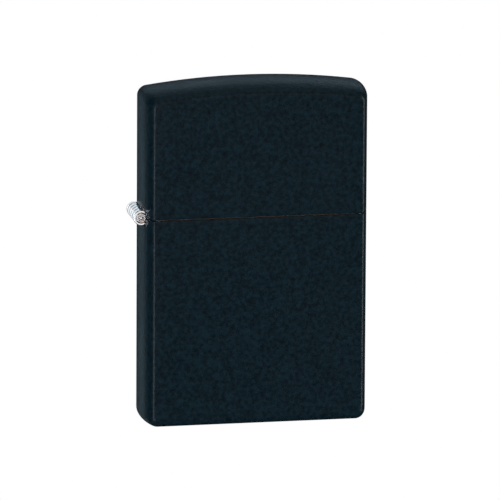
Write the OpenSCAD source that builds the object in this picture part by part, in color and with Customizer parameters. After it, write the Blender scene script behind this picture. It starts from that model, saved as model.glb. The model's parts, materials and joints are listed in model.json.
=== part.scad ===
// Pocket lighter: a two-part case with a hinged lid, around a lift-out fuel insert.
// Origin: centre of the flat bottom. The hinge is at -X, the front is at -Y, +Z is up.

/* [Case] */
// Width of the case, without the hinge barrel
case_w = 37.3; // [36.8:0.1:46]
// Depth of the case, front to back
case_d = 12.4; // [11.8:0.1:18]
// Height of the closed case at the crown of the lid
case_h = 56.6; // [56:0.1:72]
// Height of the split between the case and the lid
seam_z = 34.6; // [34.6:0.1:42]
// Gap at the split
seam_gap = 0.2; // [0.1:0.05:0.4]
// Thickness of the case wall
wall = 0.6; // [0.4:0.05:0.8]
// How much lower the lid's top is at the sides than at the crown
crown_drop = 1.42; // [0.8:0.02:1.8]
// Radius of the bottom corners, seen from the front
corner_r = 1.7; // [1.6:0.1:3]
// Radius of the lid's shoulders, seen from the front
shoulder_r = 1.7; // [1.6:0.1:3]
// Radius of the upright edges, seen from above
edge_r = 1.6; // [1.2:0.1:2.2]
// Radius of the long edges along the bottom, front and back
base_r = 1.1; // [0.9:0.1:1.6]
// Radius of the long edges along the top, front and back
top_r = 1.3; // [0.9:0.1:1.8]

/* [Hinge] */
// Outer radius of the hinge barrel
barrel_r = 1.25; // [1.1:0.05:1.6]
// Radius of the hinge pin
pin_r = 0.8; // [0.6:0.05:0.85]
// Radial clearance of the pin in its knuckles
pin_gap = 0.05; // [0.02:0.01:0.08]
// Thickness of the hinge leaves
leaf_t = 0.4; // [0.3:0.05:0.5]
// Length of the hinge barrel
hinge_len = 7; // [6:0.1:9]
// Gap between two knuckles
knuckle_gap = 0.08; // [0.05:0.01:0.15]
// Height of each leaf plate, away from the split
leaf_h = 8.5; // [6:0.1:10]
// Width of each leaf plate
leaf_w = 8; // [7:0.1:9]
// How far the striker tongue reaches in from the lid's leaf
tongue_reach = 1.05; // [0.6:0.05:1.2]

/* [Insert] */
// Clearance between the insert and the case
insert_gap = 0.15; // [0.1:0.01:0.3]
// Thickness of the insert's sheet
sheet = 0.4; // [0.3:0.05:0.5]
// Height of the insert's deck above the split
deck_rise = 2; // [1.5:0.1:2.4]
// Radius of the insert's upright edges
insert_edge_r = 1.9; // [1.6:0.1:2.6]
// Radius of the insert's shoulders, seen from the front
insert_shoulder_r = 0.9; // [0.5:0.1:1.4]
// Depth of the windscreen, front to back
screen_d = 7.6; // [7:0.1:9]
// Height of the windscreen above the deck
screen_h = 15.2; // [12:0.1:17]
// Radius of the windscreen's upright corners
screen_edge_r = 1.2; // [0.8:0.1:1.6]
// Radius of the air holes in the windscreen
air_hole_r = 1.15; // [0.8:0.05:1.3]

/* [Cam] */
// Distance of the cam pivot from the hinge axis, across
cam_dx = 5.65; // [5.4:0.05:6]
// Height of the cam pivot above the hinge barrel
cam_rise = 3.95; // [3.9:0.05:4.2]
// Radius of the cam's hub
cam_hub_r = 2.6; // [2.4:0.05:2.65]
// Distance of the two hub flats from the pivot
cam_flat = 2.35; // [2.2:0.05:2.4]
// Distance of the nose tip's centre from the pivot
cam_reach = 8.4; // [7.6:0.1:8.5]
// Half width of the nose at its root
cam_root = 1.1; // [0.9:0.05:1.2]
// Radius of the nose tip
cam_tip_r = 0.45; // [0.35:0.05:0.5]
// Thickness of the cam
cam_t = 2.4; // [1.8:0.1:3]
// Radius of the cam rivet
cam_rivet_r = 0.7; // [0.5:0.05:0.8]
// Thickness of the cam's leaf spring
strip_t = 0.2; // [0.15:0.05:0.25]

/* [Flint and wheel] */
// Radius of the flint wheel over its teeth
wheel_r = 3.7; // [3.1:0.1:4.5]
// Width of the flint wheel
wheel_w = 6.2; // [5:0.1:6.3]
// Number of teeth around the wheel
wheel_teeth = 48; // [36:1:60]
// Depth of the teeth
tooth_depth = 0.3; // [0.2:0.05:0.4]
// Radius of the wheel rivet
wheel_rivet_r = 0.8; // [0.6:0.05:0.9]
// Distance of the wheel's axle from the insert's right side
wheel_inset = 8.05; // [8:0.05:9]
// Radius of the flint
flint_r = 1.27; // [1:0.01:1.6]
// Length of the flint
flint_len = 5; // [3:0.1:6]
// Radial clearance of the flint in its tube
flint_gap = 0.08; // [0.04:0.01:0.1]
// Wall of the flint tube
tube_wall = 0.7; // [0.5:0.05:0.8]
// Length of the screw's thread
screw_len = 6; // [4:0.1:8]

/* [Fuel pack] */
// Radius of the wick
wick_r = 1.6; // [1.2:0.05:1.6]
// Thickness of the felt pad
felt_t = 2.5; // [2:0.1:3.5]
// Radius of the large packing balls
ball_r = 5.1; // [4.5:0.1:5.1]
// Radius of the small packing balls
small_ball_r = 4.4; // [3.6:0.1:4.4]

/* [Hidden] */

$fn = 64;
eps = 0.01;            // sheet-to-sheet clearance where two fixed pieces pass each other
big = 200;             // longer than the object, for cutting blocks
fine_fn = 720;         // facets of the very large crown circle

// Case
crown_r = (pow(case_w / 2, 2) + pow(crown_drop, 2)) / (2 * crown_drop);
crown_z = case_h - crown_r;

// Hinge
hinge_x = -(case_w / 2 + barrel_r - leaf_t - wall);
knuckles = 5;
knuckle_len = (hinge_len - (knuckles - 1) * knuckle_gap) / knuckles;
notch_half = barrel_r + 0.15;
bore_r = pin_r + pin_gap;
pin_end = 0.05;        // how far the pin stands out of the barrel before its dome
dome_r = 2.5 * pin_r;
dome_h = dome_r - sqrt(pow(dome_r, 2) - pow(pin_r, 2));
notch_w = hinge_len + 2 * (pin_end + dome_h) + 0.2;
tongue_z = deck_rise + 0.25;
tongue_t = 0.35;
tongue_w = 3;

// Insert
insert_x0 = -case_w / 2 + wall + leaf_t + insert_gap;
insert_x1 = case_w / 2 - wall - insert_gap;
insert_w = insert_x1 - insert_x0;
insert_cx = (insert_x0 + insert_x1) / 2;
insert_d = case_d - 2 * (wall + insert_gap);
seat_r = corner_r - wall;
// The insert's square bottom edges rest in the round corners of the case
insert_z0 = corner_r - sqrt(pow(seat_r, 2) - pow(seat_r - insert_gap, 2));
deck_z = seam_z + deck_rise;
screen_z1 = deck_z + screen_h;
tank_d = insert_d - 2 * sheet;

// Cam
cam_dz = barrel_r + cam_rise;
cam_x = hinge_x + cam_dx;
cam_z = seam_z + cam_dz;
cam_closed = 119;      // direction of the nose with the lid shut, from +X
cam_ear_r = 2.3;
sleeve_r = cam_rivet_r + 0.6;
rivet_fit = 0.03;      // radial clearance of the wheel and the cam on their rivets
inner_y = screen_d / 2 - sheet;
side_gap = 0.1;
spring_rise = cam_dz - deck_rise - cam_hub_r - 0.05;
strip_w = 3;
strip_x0 = cam_x - 1.9;
strip_x1 = cam_x + 3.2;
strip_x2 = cam_x + 4.6;

// Flint and wheel
wheel_x = insert_x1 - wheel_inset;
wheel_deck_gap = 0.9;
wheel_z = deck_z + wheel_deck_gap + wheel_r;
wheel_ear_r = 2.6;
tube_x = wheel_x + 0.8;
tube_bore_r = flint_r + flint_gap;
tube_r = tube_bore_r + tube_wall;
tube_z0 = insert_z0 + 1.4;
tube_z1 = deck_z + 0.5;
flint_z1 = wheel_z - wheel_r - 0.12;
flint_z0 = flint_z1 - flint_len;
tip_head = 1.1;
tip_stem = 2.2;
tip_stem_r = 0.55;
screw_r = tube_bore_r + 0.25;
screw_head_r = 2.4;
screw_head_t = 1.1;
screw_pitch = 0.6;
screw_guide = 2;
spring_z0 = tube_z0 + screw_len;
spring_z1 = flint_z0 - tip_head;
wire_r = 0.17;
coil_r = tube_bore_r - 0.2 - wire_r;
coil_turns = 17;
coil_steps = 12;       // rings for each turn
wire_sides = 6;

// Windscreen
screen_x0 = cam_x + 5.2;
screen_x1 = wheel_x - wheel_r - 0.5;
screen_cx = (screen_x0 + screen_x1) / 2;
hole_step_x = 3.4;
hole_step_z = 3.6;
hole_top = screen_z1 - 3.2;
spark_w = 4.4;
spark_z0 = deck_z + 3;
spark_z1 = deck_z + 8.5;

// Fuel pack
felt_z0 = insert_z0 + 0.4;
ball_gap = 0.2;
ball_t = tank_d - 2 * ball_gap;
ball_x = insert_x0 + sheet + ball_gap + ball_r;
ball_step = 2 * ball_r + ball_gap;
ball_top_z = deck_z - sheet - ball_gap - ball_r;
small_x = tube_x - tube_r - ball_gap - small_ball_r;
ball_round = 1.6;
wick_hole_r = wick_r + 0.15;
wick_sides = 8;
// The wick's route, across and up from its hole in the deck
WICK = [[0, 8.6], [0, 4], [0, 0], [-0.3, -2.5], [-1.3, -5.9], [-2.4, -8.8], [-2.7, -11.3],
        [-2.2, -14], [-1.2, -16.7], [-2.2, -19.4], [-2.7, -22.1], [-2.2, -24.8],
        [-1.4, -27.5], [-1.4, -31]];

// ---- Helpers ----

// A rectangle with round corners, centred
module round_rect(w, h, r) {
    square([w - 2 * r, h], center = true);
    square([w, h - 2 * r], center = true);
    for (sx = [-1, 1], sy = [-1, 1])
        translate([sx * (w / 2 - r), sy * (h / 2 - r)]) circle(r);
}

// Extrudes an outline drawn in X and Z along Y, centred
module along_y(length) {
    rotate([90, 0, 0]) linear_extrude(length, center = true) children();
}

// A cylinder along Y, centred
module rod_y(r, length) {
    rotate([90, 0, 0]) cylinder(r = r, h = length, center = true);
}

// The case's front outline, moved inwards by t
module front_outline(t) {
    half = case_w / 2 - t;
    low_r = corner_r - t;
    high_r = shoulder_r - t;
    arc_r = crown_r - t;
    shoulder_x = half - high_r;
    shoulder_z = crown_z + sqrt(pow(arc_r - high_r, 2) - pow(shoulder_x, 2));
    reach = (arc_r + 5) / (arc_r - high_r);
    out_x = shoulder_x * reach;
    out_z = crown_z + (shoulder_z - crown_z) * reach;
    translate([-half, t + low_r]) square([2 * half, shoulder_z - t - low_r]);
    translate([low_r - half, t]) square([2 * (half - low_r), shoulder_z - t]);
    for (s = [-1, 1]) {
        translate([s * (half - low_r), t + low_r]) circle(low_r);
        translate([s * shoulder_x, shoulder_z]) circle(high_r);
    }
    intersection() {
        translate([0, crown_z]) circle(arc_r, $fn = fine_fn);
        polygon([[-shoulder_x, shoulder_z - 1], [-shoulder_x, shoulder_z], [-out_x, out_z],
                 [out_x, out_z], [shoulder_x, shoulder_z], [shoulder_x, shoulder_z - 1]]);
    }
}

// The case's side outline in Y and Z, moved inwards by t, open at the top
module side_outline(t) {
    half = case_d / 2 - t;
    r = base_r - t;
    translate([-half, t + r]) square([2 * half, case_h]);
    translate([r - half, t]) square([2 * (half - r), case_h]);
    for (s = [-1, 1]) translate([s * (half - r), t + r]) circle(r);
}

// A disc along Y whose rim is the lid's arched top with its two rounded edges
module crown_disc(t) {
    half = case_d / 2 - t;
    r = top_r - t;
    arc_r = crown_r - t;
    translate([0, 0, crown_z]) rotate([90, 0, 0]) rotate_extrude($fn = fine_fn) {
        translate([0, -half]) square([arc_r - r, 2 * half]);
        translate([0, r - half]) square([arc_r, 2 * (half - r)]);
        for (s = [-1, 1]) translate([arc_r - r, s * (half - r)]) circle(r);
    }
}

// The whole case as one solid block, moved inwards by t
module case_block(t) {
    intersection() {
        linear_extrude(case_h) round_rect(case_w - 2 * t, case_d - 2 * t, edge_r - t);
        along_y(case_d + 1) front_outline(t);
        rotate([90, 0, 90]) linear_extrude(case_w + 1, center = true) side_outline(t);
        crown_disc(t);
    }
}

// Room in the left wall for the hinge barrel, towards one side of the split
module hinge_notch(up) {
    translate([-case_w / 2 - 1, -notch_w / 2, up ? seam_z : seam_z - notch_half])
        cube([1 + wall, notch_w, notch_half]);
}

// One hinge leaf on the knuckles from first in steps of two, up or down from the split
module hinge_leaf(first, up) {
    s = up ? 1 : -1;
    difference() {
        union() {
            translate([hinge_x + barrel_r - leaf_t, -leaf_w / 2,
                       seam_z + (up ? notch_half : -leaf_h)])
                cube([leaf_t, leaf_w, leaf_h - notch_half]);
            for (i = [first:2:knuckles - 1]) {
                y = -hinge_len / 2 + i * (knuckle_len + knuckle_gap);
                translate([hinge_x, y + knuckle_len / 2, seam_z]) rod_y(barrel_r, knuckle_len);
                translate([hinge_x + barrel_r - leaf_t, y, seam_z + (up ? 0 : -notch_half)])
                    cube([leaf_t, knuckle_len, notch_half]);
            }
        }
        translate([hinge_x, 0, seam_z]) rod_y(bore_r, hinge_len + 2);
    }
}

// A rivet along Y through both windscreen plates, with a flat head on each
module screen_rivet(x, z, r) {
    head_t = 0.35;
    translate([x, 0, z]) {
        rod_y(r, screen_d + 2 * head_t);
        for (s = [-1, 1])
            translate([0, s * (screen_d + head_t) / 2, 0]) rod_y(r + 0.55, head_t);
    }
}

// A packing ball pressed flat between the tank's two walls
module rayon_ball(x, z, r) {
    color("whitesmoke") translate([x, 0, z]) rotate([90, 0, 0]) rotate_extrude()
        intersection() {
            translate([0, -ball_t / 2]) square([r, ball_t]);
            round_rect(2 * r, ball_t, ball_round);
        }
}

// ---- Case ----

module case_body() {
    color("#15181b") difference() {
        case_block(0);
        translate([-big / 2, -big / 2, seam_z - seam_gap / 2]) cube(big);
        case_block(wall);
        hinge_notch(false);
    }
}

module case_lid() {
    color("#15181b") difference() {
        case_block(0);
        translate([-big / 2, -big / 2, seam_z + seam_gap / 2 - big]) cube(big);
        case_block(wall);
        hinge_notch(true);
    }
}

module body_hinge_leaf() {
    color("silver") hinge_leaf(0, false);
}

module lid_hinge_leaf() {
    color("silver") {
        hinge_leaf(1, true);
        translate([hinge_x + barrel_r, -tongue_w / 2, seam_z + tongue_z])
            cube([tongue_reach, tongue_w, tongue_t]);
    }
}

module hinge_pin() {
    color("gainsboro") translate([hinge_x, 0, seam_z]) {
        rod_y(pin_r, hinge_len + 2 * pin_end);
        for (s = [-1, 1])
            intersection() {
                translate([0, s * (hinge_len / 2 + pin_end + dome_h - dome_r), 0]) sphere(dome_r);
                rod_y(pin_r, hinge_len + 2 * (pin_end + dome_h));
            }
    }
}

// ---- Insert ----

// The tank's solid shape, moved inwards by t, from the height z0
module tank_block(t, z0) {
    top = deck_z - t;
    w = insert_w - 2 * t;
    r = insert_shoulder_r;
    translate([insert_cx, 0, 0]) intersection() {
        translate([0, 0, z0]) linear_extrude(top - z0)
            round_rect(w, insert_d - 2 * t, insert_edge_r - t);
        along_y(case_d) translate([0, top / 2]) round_rect(w, top, r);
    }
}

// The front outline shared by both windscreen plates
module screen_outline() {
    translate([screen_x0, deck_z]) square([screen_x1 - screen_x0, screen_h]);
    translate([cam_x, cam_z]) circle(cam_ear_r);
    translate([cam_x - cam_ear_r, deck_z]) square([2 * cam_ear_r, cam_z - deck_z]);
    translate([cam_x, deck_z]) square([screen_x0 - cam_x, cam_z + cam_ear_r - deck_z]);
    translate([wheel_x, wheel_z]) circle(wheel_ear_r);
    translate([wheel_x - wheel_ear_r, deck_z]) square([2 * wheel_ear_r, wheel_z - deck_z]);
    translate([screen_x1, deck_z]) square([wheel_x - screen_x1, wheel_z + wheel_ear_r - deck_z]);
}

// The windscreen: two plates with ears, and a wall at each end of the flame chamber
module windscreen() {
    difference() {
        union() {
            for (s = [-1, 1])
                translate([0, s * (screen_d - sheet) / 2, 0]) along_y(sheet) screen_outline();
            translate([screen_cx, 0, deck_z]) linear_extrude(screen_h) difference() {
                round_rect(screen_x1 - screen_x0, screen_d, screen_edge_r);
                round_rect(screen_x1 - screen_x0 - 2 * sheet, screen_d - 2 * sheet,
                           screen_edge_r - sheet);
            }
        }
        for (row = [0:2], col = [-1:1])
            if (abs(col) == 1 || row < 2)
                translate([screen_cx + col * hole_step_x, 0,
                           hole_top - (row + (col == 0 ? 0.5 : 0)) * hole_step_z])
                    rod_y(air_hole_r, screen_d + 2);
        translate([screen_x1 - 2 * sheet, -spark_w / 2, spark_z0])
            cube([3 * sheet, spark_w, spark_z1 - spark_z0]);
        translate([cam_x, 0, cam_z]) rod_y(cam_rivet_r + eps, screen_d + 2);
        translate([wheel_x, 0, wheel_z]) rod_y(wheel_rivet_r + eps, screen_d + 2);
    }
}

module insert_shell() {
    color("lightsteelblue") {
        difference() {
            tank_block(0, insert_z0);
            tank_block(sheet, 0);
            translate([screen_cx, 0, 0]) cylinder(r = wick_hole_r, h = big);
            translate([tube_x, 0, 0]) cylinder(r = tube_r + eps, h = big);
        }
        windscreen();
    }
}

// ---- Cam ----

// The cam's side outline, turned so that its nose points up to the lid's wall
module cam_outline() {
    root_x = 1.2;
    intersection() {
        circle(cam_hub_r);
        translate([-cam_flat, -cam_flat]) square(2 * cam_hub_r);
    }
    rotate(cam_closed) {
        translate([cam_reach, 0]) circle(cam_tip_r);
        polygon([[0, -cam_root], [root_x, -cam_root], [cam_reach, -cam_tip_r],
                 [cam_reach, cam_tip_r], [root_x, cam_root], [0, cam_root]]);
    }
}

module cam() {
    color("dimgray") translate([cam_x, 0, cam_z]) difference() {
        union() {
            along_y(cam_t) cam_outline();
            rod_y(sleeve_r, 2 * (inner_y - side_gap));
        }
        rod_y(cam_rivet_r + rivet_fit, screen_d + 2);
    }
}

module cam_rivet() {
    color("silver") screen_rivet(cam_x, cam_z, cam_rivet_r);
}

// A thin strip under the cam's flats, riveted to the deck at its right end
module cam_spring() {
    color("lightgray") translate([0, 0, deck_z]) difference() {
        along_y(strip_w) polygon([
            [strip_x2, 0], [strip_x2, strip_t], [strip_x1, strip_t],
            [cam_x, spring_rise], [strip_x0, spring_rise], [strip_x0, spring_rise - strip_t],
            [cam_x, spring_rise - strip_t], [strip_x1, 0]]);
        translate([(strip_x1 + strip_x2) / 2, 0, 0]) cylinder(r = 0.45 + eps, h = 2, center = true);
    }
}

module cam_spring_rivet() {
    head_r = 0.65;
    color("silver") translate([(strip_x1 + strip_x2) / 2, 0, deck_z]) {
        translate([0, 0, strip_t]) cylinder(r = head_r, h = 0.25);
        translate([0, 0, 0]) cylinder(r = 0.45, h = strip_t);
    }
}

// ---- Flint and wheel ----

module flint_wheel() {
    step = 360 / wheel_teeth;
    root_r = wheel_r - tooth_depth;
    hub_r = wheel_rivet_r + 0.8;
    hub_t = inner_y - side_gap - wheel_w / 2;
    color("slategray") translate([wheel_x, 0, wheel_z]) difference() {
        union() {
            along_y(wheel_w) polygon([for (i = [0:wheel_teeth - 1], k = [0, 1])
                let (a = (i + k / 2) * step + step / 4, r = k == 0 ? wheel_r : root_r)
                [r * cos(a), r * sin(a)]]);
            for (s = [-1, 1])
                translate([0, s * (wheel_w + hub_t) / 2, 0]) rod_y(hub_r, hub_t);
        }
        rod_y(wheel_rivet_r + rivet_fit, screen_d + 2);
    }
}

module wheel_rivet() {
    color("silver") screen_rivet(wheel_x, wheel_z, wheel_rivet_r);
}

module flint() {
    color("darkgray") translate([tube_x, 0, flint_z0]) cylinder(r = flint_r, h = flint_len);
}

module flint_spring_tip() {
    color("goldenrod") {
        translate([tube_x, 0, spring_z1]) cylinder(r = flint_r, h = tip_head);
        translate([tube_x, 0, spring_z1 - tip_stem]) cylinder(r = tip_stem_r, h = tip_stem + eps);
    }
}

// A closed tube that follows rings of points, each ring with the same number of sides
module swept(rings, sides) {
    n = len(rings);
    points = [for (ring = rings) each ring];
    faces = concat(
        [[for (j = [0:sides - 1]) j]],
        [for (i = [0:n - 2], j = [0:sides - 1])
            let (k = (j + 1) % sides)
            [i * sides + j, (i + 1) * sides + j, (i + 1) * sides + k, i * sides + k]],
        [[for (j = [sides - 1:-1:0]) (n - 1) * sides + j]]);
    polyhedron(points, faces, convexity = 10);
}

module flint_spring() {
    steps = coil_turns * coil_steps;
    rise = spring_z1 - spring_z0 - 2 * wire_r;
    rings = [for (i = [0:steps])
        let (a = i * 360 / coil_steps, z = spring_z0 + wire_r + rise * i / steps)
        [for (j = [0:wire_sides - 1])
            let (b = j * 360 / wire_sides, r = coil_r + wire_r * cos(b))
            [tube_x + r * cos(a), r * sin(a), z + wire_r * sin(b)]]];
    color("silver") swept(rings, wire_sides);
}

module flint_tube() {
    color("gold") translate([tube_x, 0, 0]) difference() {
        translate([0, 0, tube_z0]) cylinder(r = tube_r, h = tube_z1 - tube_z0);
        cylinder(r = tube_bore_r, h = big);
        cylinder(r = screw_r + 0.02, h = spring_z0);
    }
}

module flint_screw() {
    slot_w = 0.7;
    slot_h = 0.5;
    depth = 0.2;
    turns = floor(screw_len / screw_pitch) - 1;
    z0 = tube_z0 - screw_head_t;
    color("darkgoldenrod") translate([tube_x, 0, z0]) difference() {
        union() {
            cylinder(r = screw_head_r, h = screw_head_t - eps);
            cylinder(r = tip_stem_r, h = screw_head_t + screw_len + screw_guide);
            rotate_extrude() polygon(concat(
                [[0, 0], [screw_r - depth, 0]],
                [for (i = [0:turns], k = [0, 1])
                    [screw_r - depth * (1 - k), screw_head_t + (i + k / 2 + 0.25) * screw_pitch]],
                [[screw_r - depth, screw_head_t + screw_len],
                 [0, screw_head_t + screw_len]]));
        }
        translate([-screw_head_r - 1, -slot_w / 2, -1])
            cube([2 * screw_head_r + 2, slot_w, slot_h + 1]);
    }
}

// ---- Fuel pack ----

module wick() {
    last = len(WICK) - 1;
    rings = [for (i = [0:last])
        let (a = WICK[max(i - 1, 0)], b = WICK[min(i + 1, last)],
             tilt = atan2(b[0] - a[0], a[1] - b[1]),
             p = WICK[i])
        [for (j = [0:wick_sides - 1])
            let (c = j * 360 / wick_sides, u = wick_r * cos(c))
            [screen_cx + p[0] + u * cos(tilt), wick_r * sin(c), deck_z + p[1] + u * sin(tilt)]]];
    color("ivory") swept(rings, wick_sides);
}

module felt_pad() {
    gap = 0.1;
    color("beige") translate([0, 0, felt_z0]) difference() {
        translate([insert_cx, 0, 0]) linear_extrude(felt_t)
            round_rect(insert_w - 2 * (sheet + gap), tank_d - 2 * gap,
                       insert_edge_r - sheet - gap);
        translate([tube_x, 0, -1]) cylinder(r = screw_head_r + 0.2, h = felt_t + 2);
    }
}

module rayon_ball_1() { rayon_ball(ball_x, ball_top_z, ball_r); }
module rayon_ball_2() { rayon_ball(ball_x, ball_top_z - ball_step, ball_r); }
module rayon_ball_3() { rayon_ball(ball_x, ball_top_z - 2 * ball_step, ball_r); }
module rayon_ball_4() { rayon_ball(small_x, ball_top_z - 0.5 * ball_step, small_ball_r); }
module rayon_ball_5() { rayon_ball(small_x, ball_top_z - 1.5 * ball_step, small_ball_r); }

case_body();
body_hinge_leaf();
hinge_pin();
case_lid();
lid_hinge_leaf();
insert_shell();
cam();
cam_rivet();
cam_spring();
cam_spring_rivet();
flint_wheel();
wheel_rivet();
flint();
flint_spring_tip();
flint_spring();
flint_tube();
flint_screw();
wick();
felt_pad();
rayon_ball_1();
rayon_ball_2();
rayon_ball_3();
rayon_ball_4();
rayon_ball_5();
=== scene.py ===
"""Looks for a pocket lighter: a black case with a hinged lid, round a steel insert.

Each sub-assembly is a class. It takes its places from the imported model's boxes, builds its meshes
in metres in the model's own frame, gives them a finish and hangs them on the body they move with.
"""
import json
import logging
import math
from collections.abc import Callable
from dataclasses import dataclass, field
from enum import Enum

import bmesh
import bpy
from mathutils import Matrix, Vector, noise

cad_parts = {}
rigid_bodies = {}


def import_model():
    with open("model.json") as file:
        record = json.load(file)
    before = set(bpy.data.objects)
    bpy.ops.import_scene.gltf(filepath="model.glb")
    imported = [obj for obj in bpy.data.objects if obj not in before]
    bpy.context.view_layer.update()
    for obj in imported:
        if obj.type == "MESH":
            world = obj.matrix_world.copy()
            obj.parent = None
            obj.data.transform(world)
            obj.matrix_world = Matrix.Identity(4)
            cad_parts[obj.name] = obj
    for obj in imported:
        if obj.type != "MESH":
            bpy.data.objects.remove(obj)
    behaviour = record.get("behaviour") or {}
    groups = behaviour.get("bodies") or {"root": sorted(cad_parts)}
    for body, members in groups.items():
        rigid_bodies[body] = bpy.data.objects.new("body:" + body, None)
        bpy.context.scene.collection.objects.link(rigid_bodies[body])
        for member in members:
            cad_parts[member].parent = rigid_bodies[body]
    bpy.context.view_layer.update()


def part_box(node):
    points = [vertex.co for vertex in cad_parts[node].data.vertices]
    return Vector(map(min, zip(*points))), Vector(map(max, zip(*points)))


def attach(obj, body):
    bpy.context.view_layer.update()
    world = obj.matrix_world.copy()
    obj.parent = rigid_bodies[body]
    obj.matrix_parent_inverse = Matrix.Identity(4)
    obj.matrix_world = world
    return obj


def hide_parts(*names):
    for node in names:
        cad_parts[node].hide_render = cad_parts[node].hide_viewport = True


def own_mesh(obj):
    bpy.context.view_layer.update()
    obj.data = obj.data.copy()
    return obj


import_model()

MM = 0.001
TURN = 2 * math.pi
LOG = logging.getLogger("lighter")
Point = tuple[float, float, float]
Ring = list[Point]
Outline = list[tuple[float, float]]
Faces = list[tuple[int, ...]]
Object = bpy.types.Object
Tree = bpy.types.NodeTree
Socket = bpy.types.NodeSocket
VECTOR = ("NodeSocketVector", 0.0)
CHAMBER_GAP = (5.2 * MM, 0.5 * MM)
SQUARE_ON = 0.9999
CLOSEST_ROWS = 0.03 * MM


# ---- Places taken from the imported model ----

def middle(node: str) -> Vector:
    """The centre of a node's box.

    Args:
        node: The CAD node's name.

    Returns:
        The centre, in metres.
    """
    low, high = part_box(node)
    return (low + high) / 2


def chamber_ends() -> tuple[float, float]:
    """Where the flame chamber starts and ends along X, from the cam to the flint wheel."""
    start, end = CHAMBER_GAP
    return (middle("cam_rivet").x + start,
            middle("wheel_rivet").x - extent("flint_wheel").x / 2 - end)


def extent(node: str) -> Vector:
    """The size of a node's box.

    Args:
        node: The CAD node's name.

    Returns:
        Its width, depth and height, in metres.
    """
    low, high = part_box(node)
    return high - low


# ---- Shader groups shared by the finishes ----

def group_tree(name: str, inputs: dict[str, tuple[str, float]],
               outputs: tuple[str, ...]) -> tuple[Tree, bpy.types.Node, bpy.types.Node]:
    """Starts a shader node group with named sockets.

    Args:
        name: The group's name.
        inputs: Each input's name, with its socket type and its first value.
        outputs: The names of the outputs, which are all numbers.

    Returns:
        The node tree, with its input node and its output node.
    """
    tree = bpy.data.node_groups.new(name, "ShaderNodeTree")
    for label, (kind, value) in inputs.items():
        socket = tree.interface.new_socket(label, in_out="INPUT", socket_type=kind)
        if kind == "NodeSocketFloat":
            socket.default_value = value
    for label in outputs:
        tree.interface.new_socket(label, in_out="OUTPUT", socket_type="NodeSocketFloat")
    return tree, tree.nodes.new("NodeGroupInput"), tree.nodes.new("NodeGroupOutput")


def wire(tree: Tree, kind: str, settings: dict[str, object] | None = None,
         **inputs: object) -> bpy.types.Node:
    """Adds a node, sets its properties and fills its inputs.

    Args:
        tree: The tree that the node goes in.
        kind: The node's type name.
        settings: Properties of the node itself.
        **inputs: Input sockets by name, with underscores for spaces, or in0, in1 by place. A
            socket is linked, and anything else is set as the value.

    Returns:
        The new node.
    """
    node = tree.nodes.new(kind)
    for label, value in (settings or {}).items():
        setattr(node, label, value)
    for label, value in inputs.items():
        place = label[2:] if label.startswith("in") and label[2:].isdigit() else None
        socket = node.inputs[int(place)] if place else node.inputs[label.replace("_", " ")]
        if isinstance(value, Socket):
            tree.links.new(value, socket)
        else:
            socket.default_value = value
    return node


def grain_group() -> Tree:
    """Fine grain at two sizes: the orange peel of a coating, or the lumps of a cast surface.

    Returns:
        The node group.
    """
    inputs = {"Vector": VECTOR, "Scale": ("NodeSocketFloat", 1000.0), "Fine": ("NodeSocketFloat", 3.0)}
    tree, start, end = group_tree("surface_grain", inputs, ("Height", "Mask"))
    finer = wire(tree, "ShaderNodeMath", {"operation": "MULTIPLY"}, in0=start.outputs["Scale"],
                 in1=start.outputs["Fine"])
    coarse = wire(tree, "ShaderNodeTexNoise", Vector=start.outputs["Vector"],
                  Scale=start.outputs["Scale"], Detail=2.0, Roughness=0.5)
    fine = wire(tree, "ShaderNodeTexNoise", Vector=start.outputs["Vector"], Scale=finer.outputs[0],
                Detail=2.0, Roughness=0.6)
    both = wire(tree, "ShaderNodeMix", {"data_type": "FLOAT"}, Factor=0.45, A=coarse.outputs["Fac"],
                B=fine.outputs["Fac"])
    mask = wire(tree, "ShaderNodeMapRange", Value=both.outputs[0], From_Min=0.36, From_Max=0.64)
    tree.links.new(both.outputs[0], end.inputs["Height"])
    tree.links.new(mask.outputs["Result"], end.inputs["Mask"])
    return tree


def brushing_group() -> Tree:
    """Long fine scratches that follow one direction, with a few deeper ones among them.

    Returns:
        The node group.
    """
    inputs = {"Vector": VECTOR, "Along": VECTOR, "Scale": ("NodeSocketFloat", 1000.0)}
    tree, start, end = group_tree("brushed_lines", inputs, ("Height", "Mask"))
    drawn = wire(tree, "ShaderNodeVectorMath", {"operation": "MULTIPLY"}, in0=start.outputs["Vector"],
                 in1=start.outputs["Along"])
    fine = wire(tree, "ShaderNodeTexNoise", Vector=drawn.outputs[0], Scale=start.outputs["Scale"],
                Detail=3.0, Roughness=0.65)
    few = wire(tree, "ShaderNodeMath", {"operation": "MULTIPLY"}, in0=start.outputs["Scale"], in1=0.31)
    deep = wire(tree, "ShaderNodeTexNoise", Vector=drawn.outputs[0], Scale=few.outputs[0], Detail=1.0)
    both = wire(tree, "ShaderNodeMix", {"data_type": "FLOAT"}, Factor=0.4, A=fine.outputs["Fac"],
                B=deep.outputs["Fac"])
    mask = wire(tree, "ShaderNodeMapRange", Value=both.outputs[0], From_Min=0.38, From_Max=0.62)
    tree.links.new(both.outputs[0], end.inputs["Height"])
    tree.links.new(mask.outputs["Result"], end.inputs["Mask"])
    return tree


def handling_group() -> Tree:
    """Broad soft smudges where a finger or a cloth has passed.

    Returns:
        The node group.
    """
    inputs = {"Vector": VECTOR, "Scale": ("NodeSocketFloat", 60.0)}
    tree, start, end = group_tree("handling_marks", inputs, ("Mask",))
    cloud = wire(tree, "ShaderNodeTexNoise", Vector=start.outputs["Vector"], Scale=start.outputs["Scale"],
                 Detail=4.0, Roughness=0.55, Distortion=0.6)
    mask = wire(tree, "ShaderNodeMapRange", Value=cloud.outputs["Fac"], From_Min=0.35, From_Max=0.68)
    tree.links.new(mask.outputs["Result"], end.inputs["Mask"])
    return tree


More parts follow.
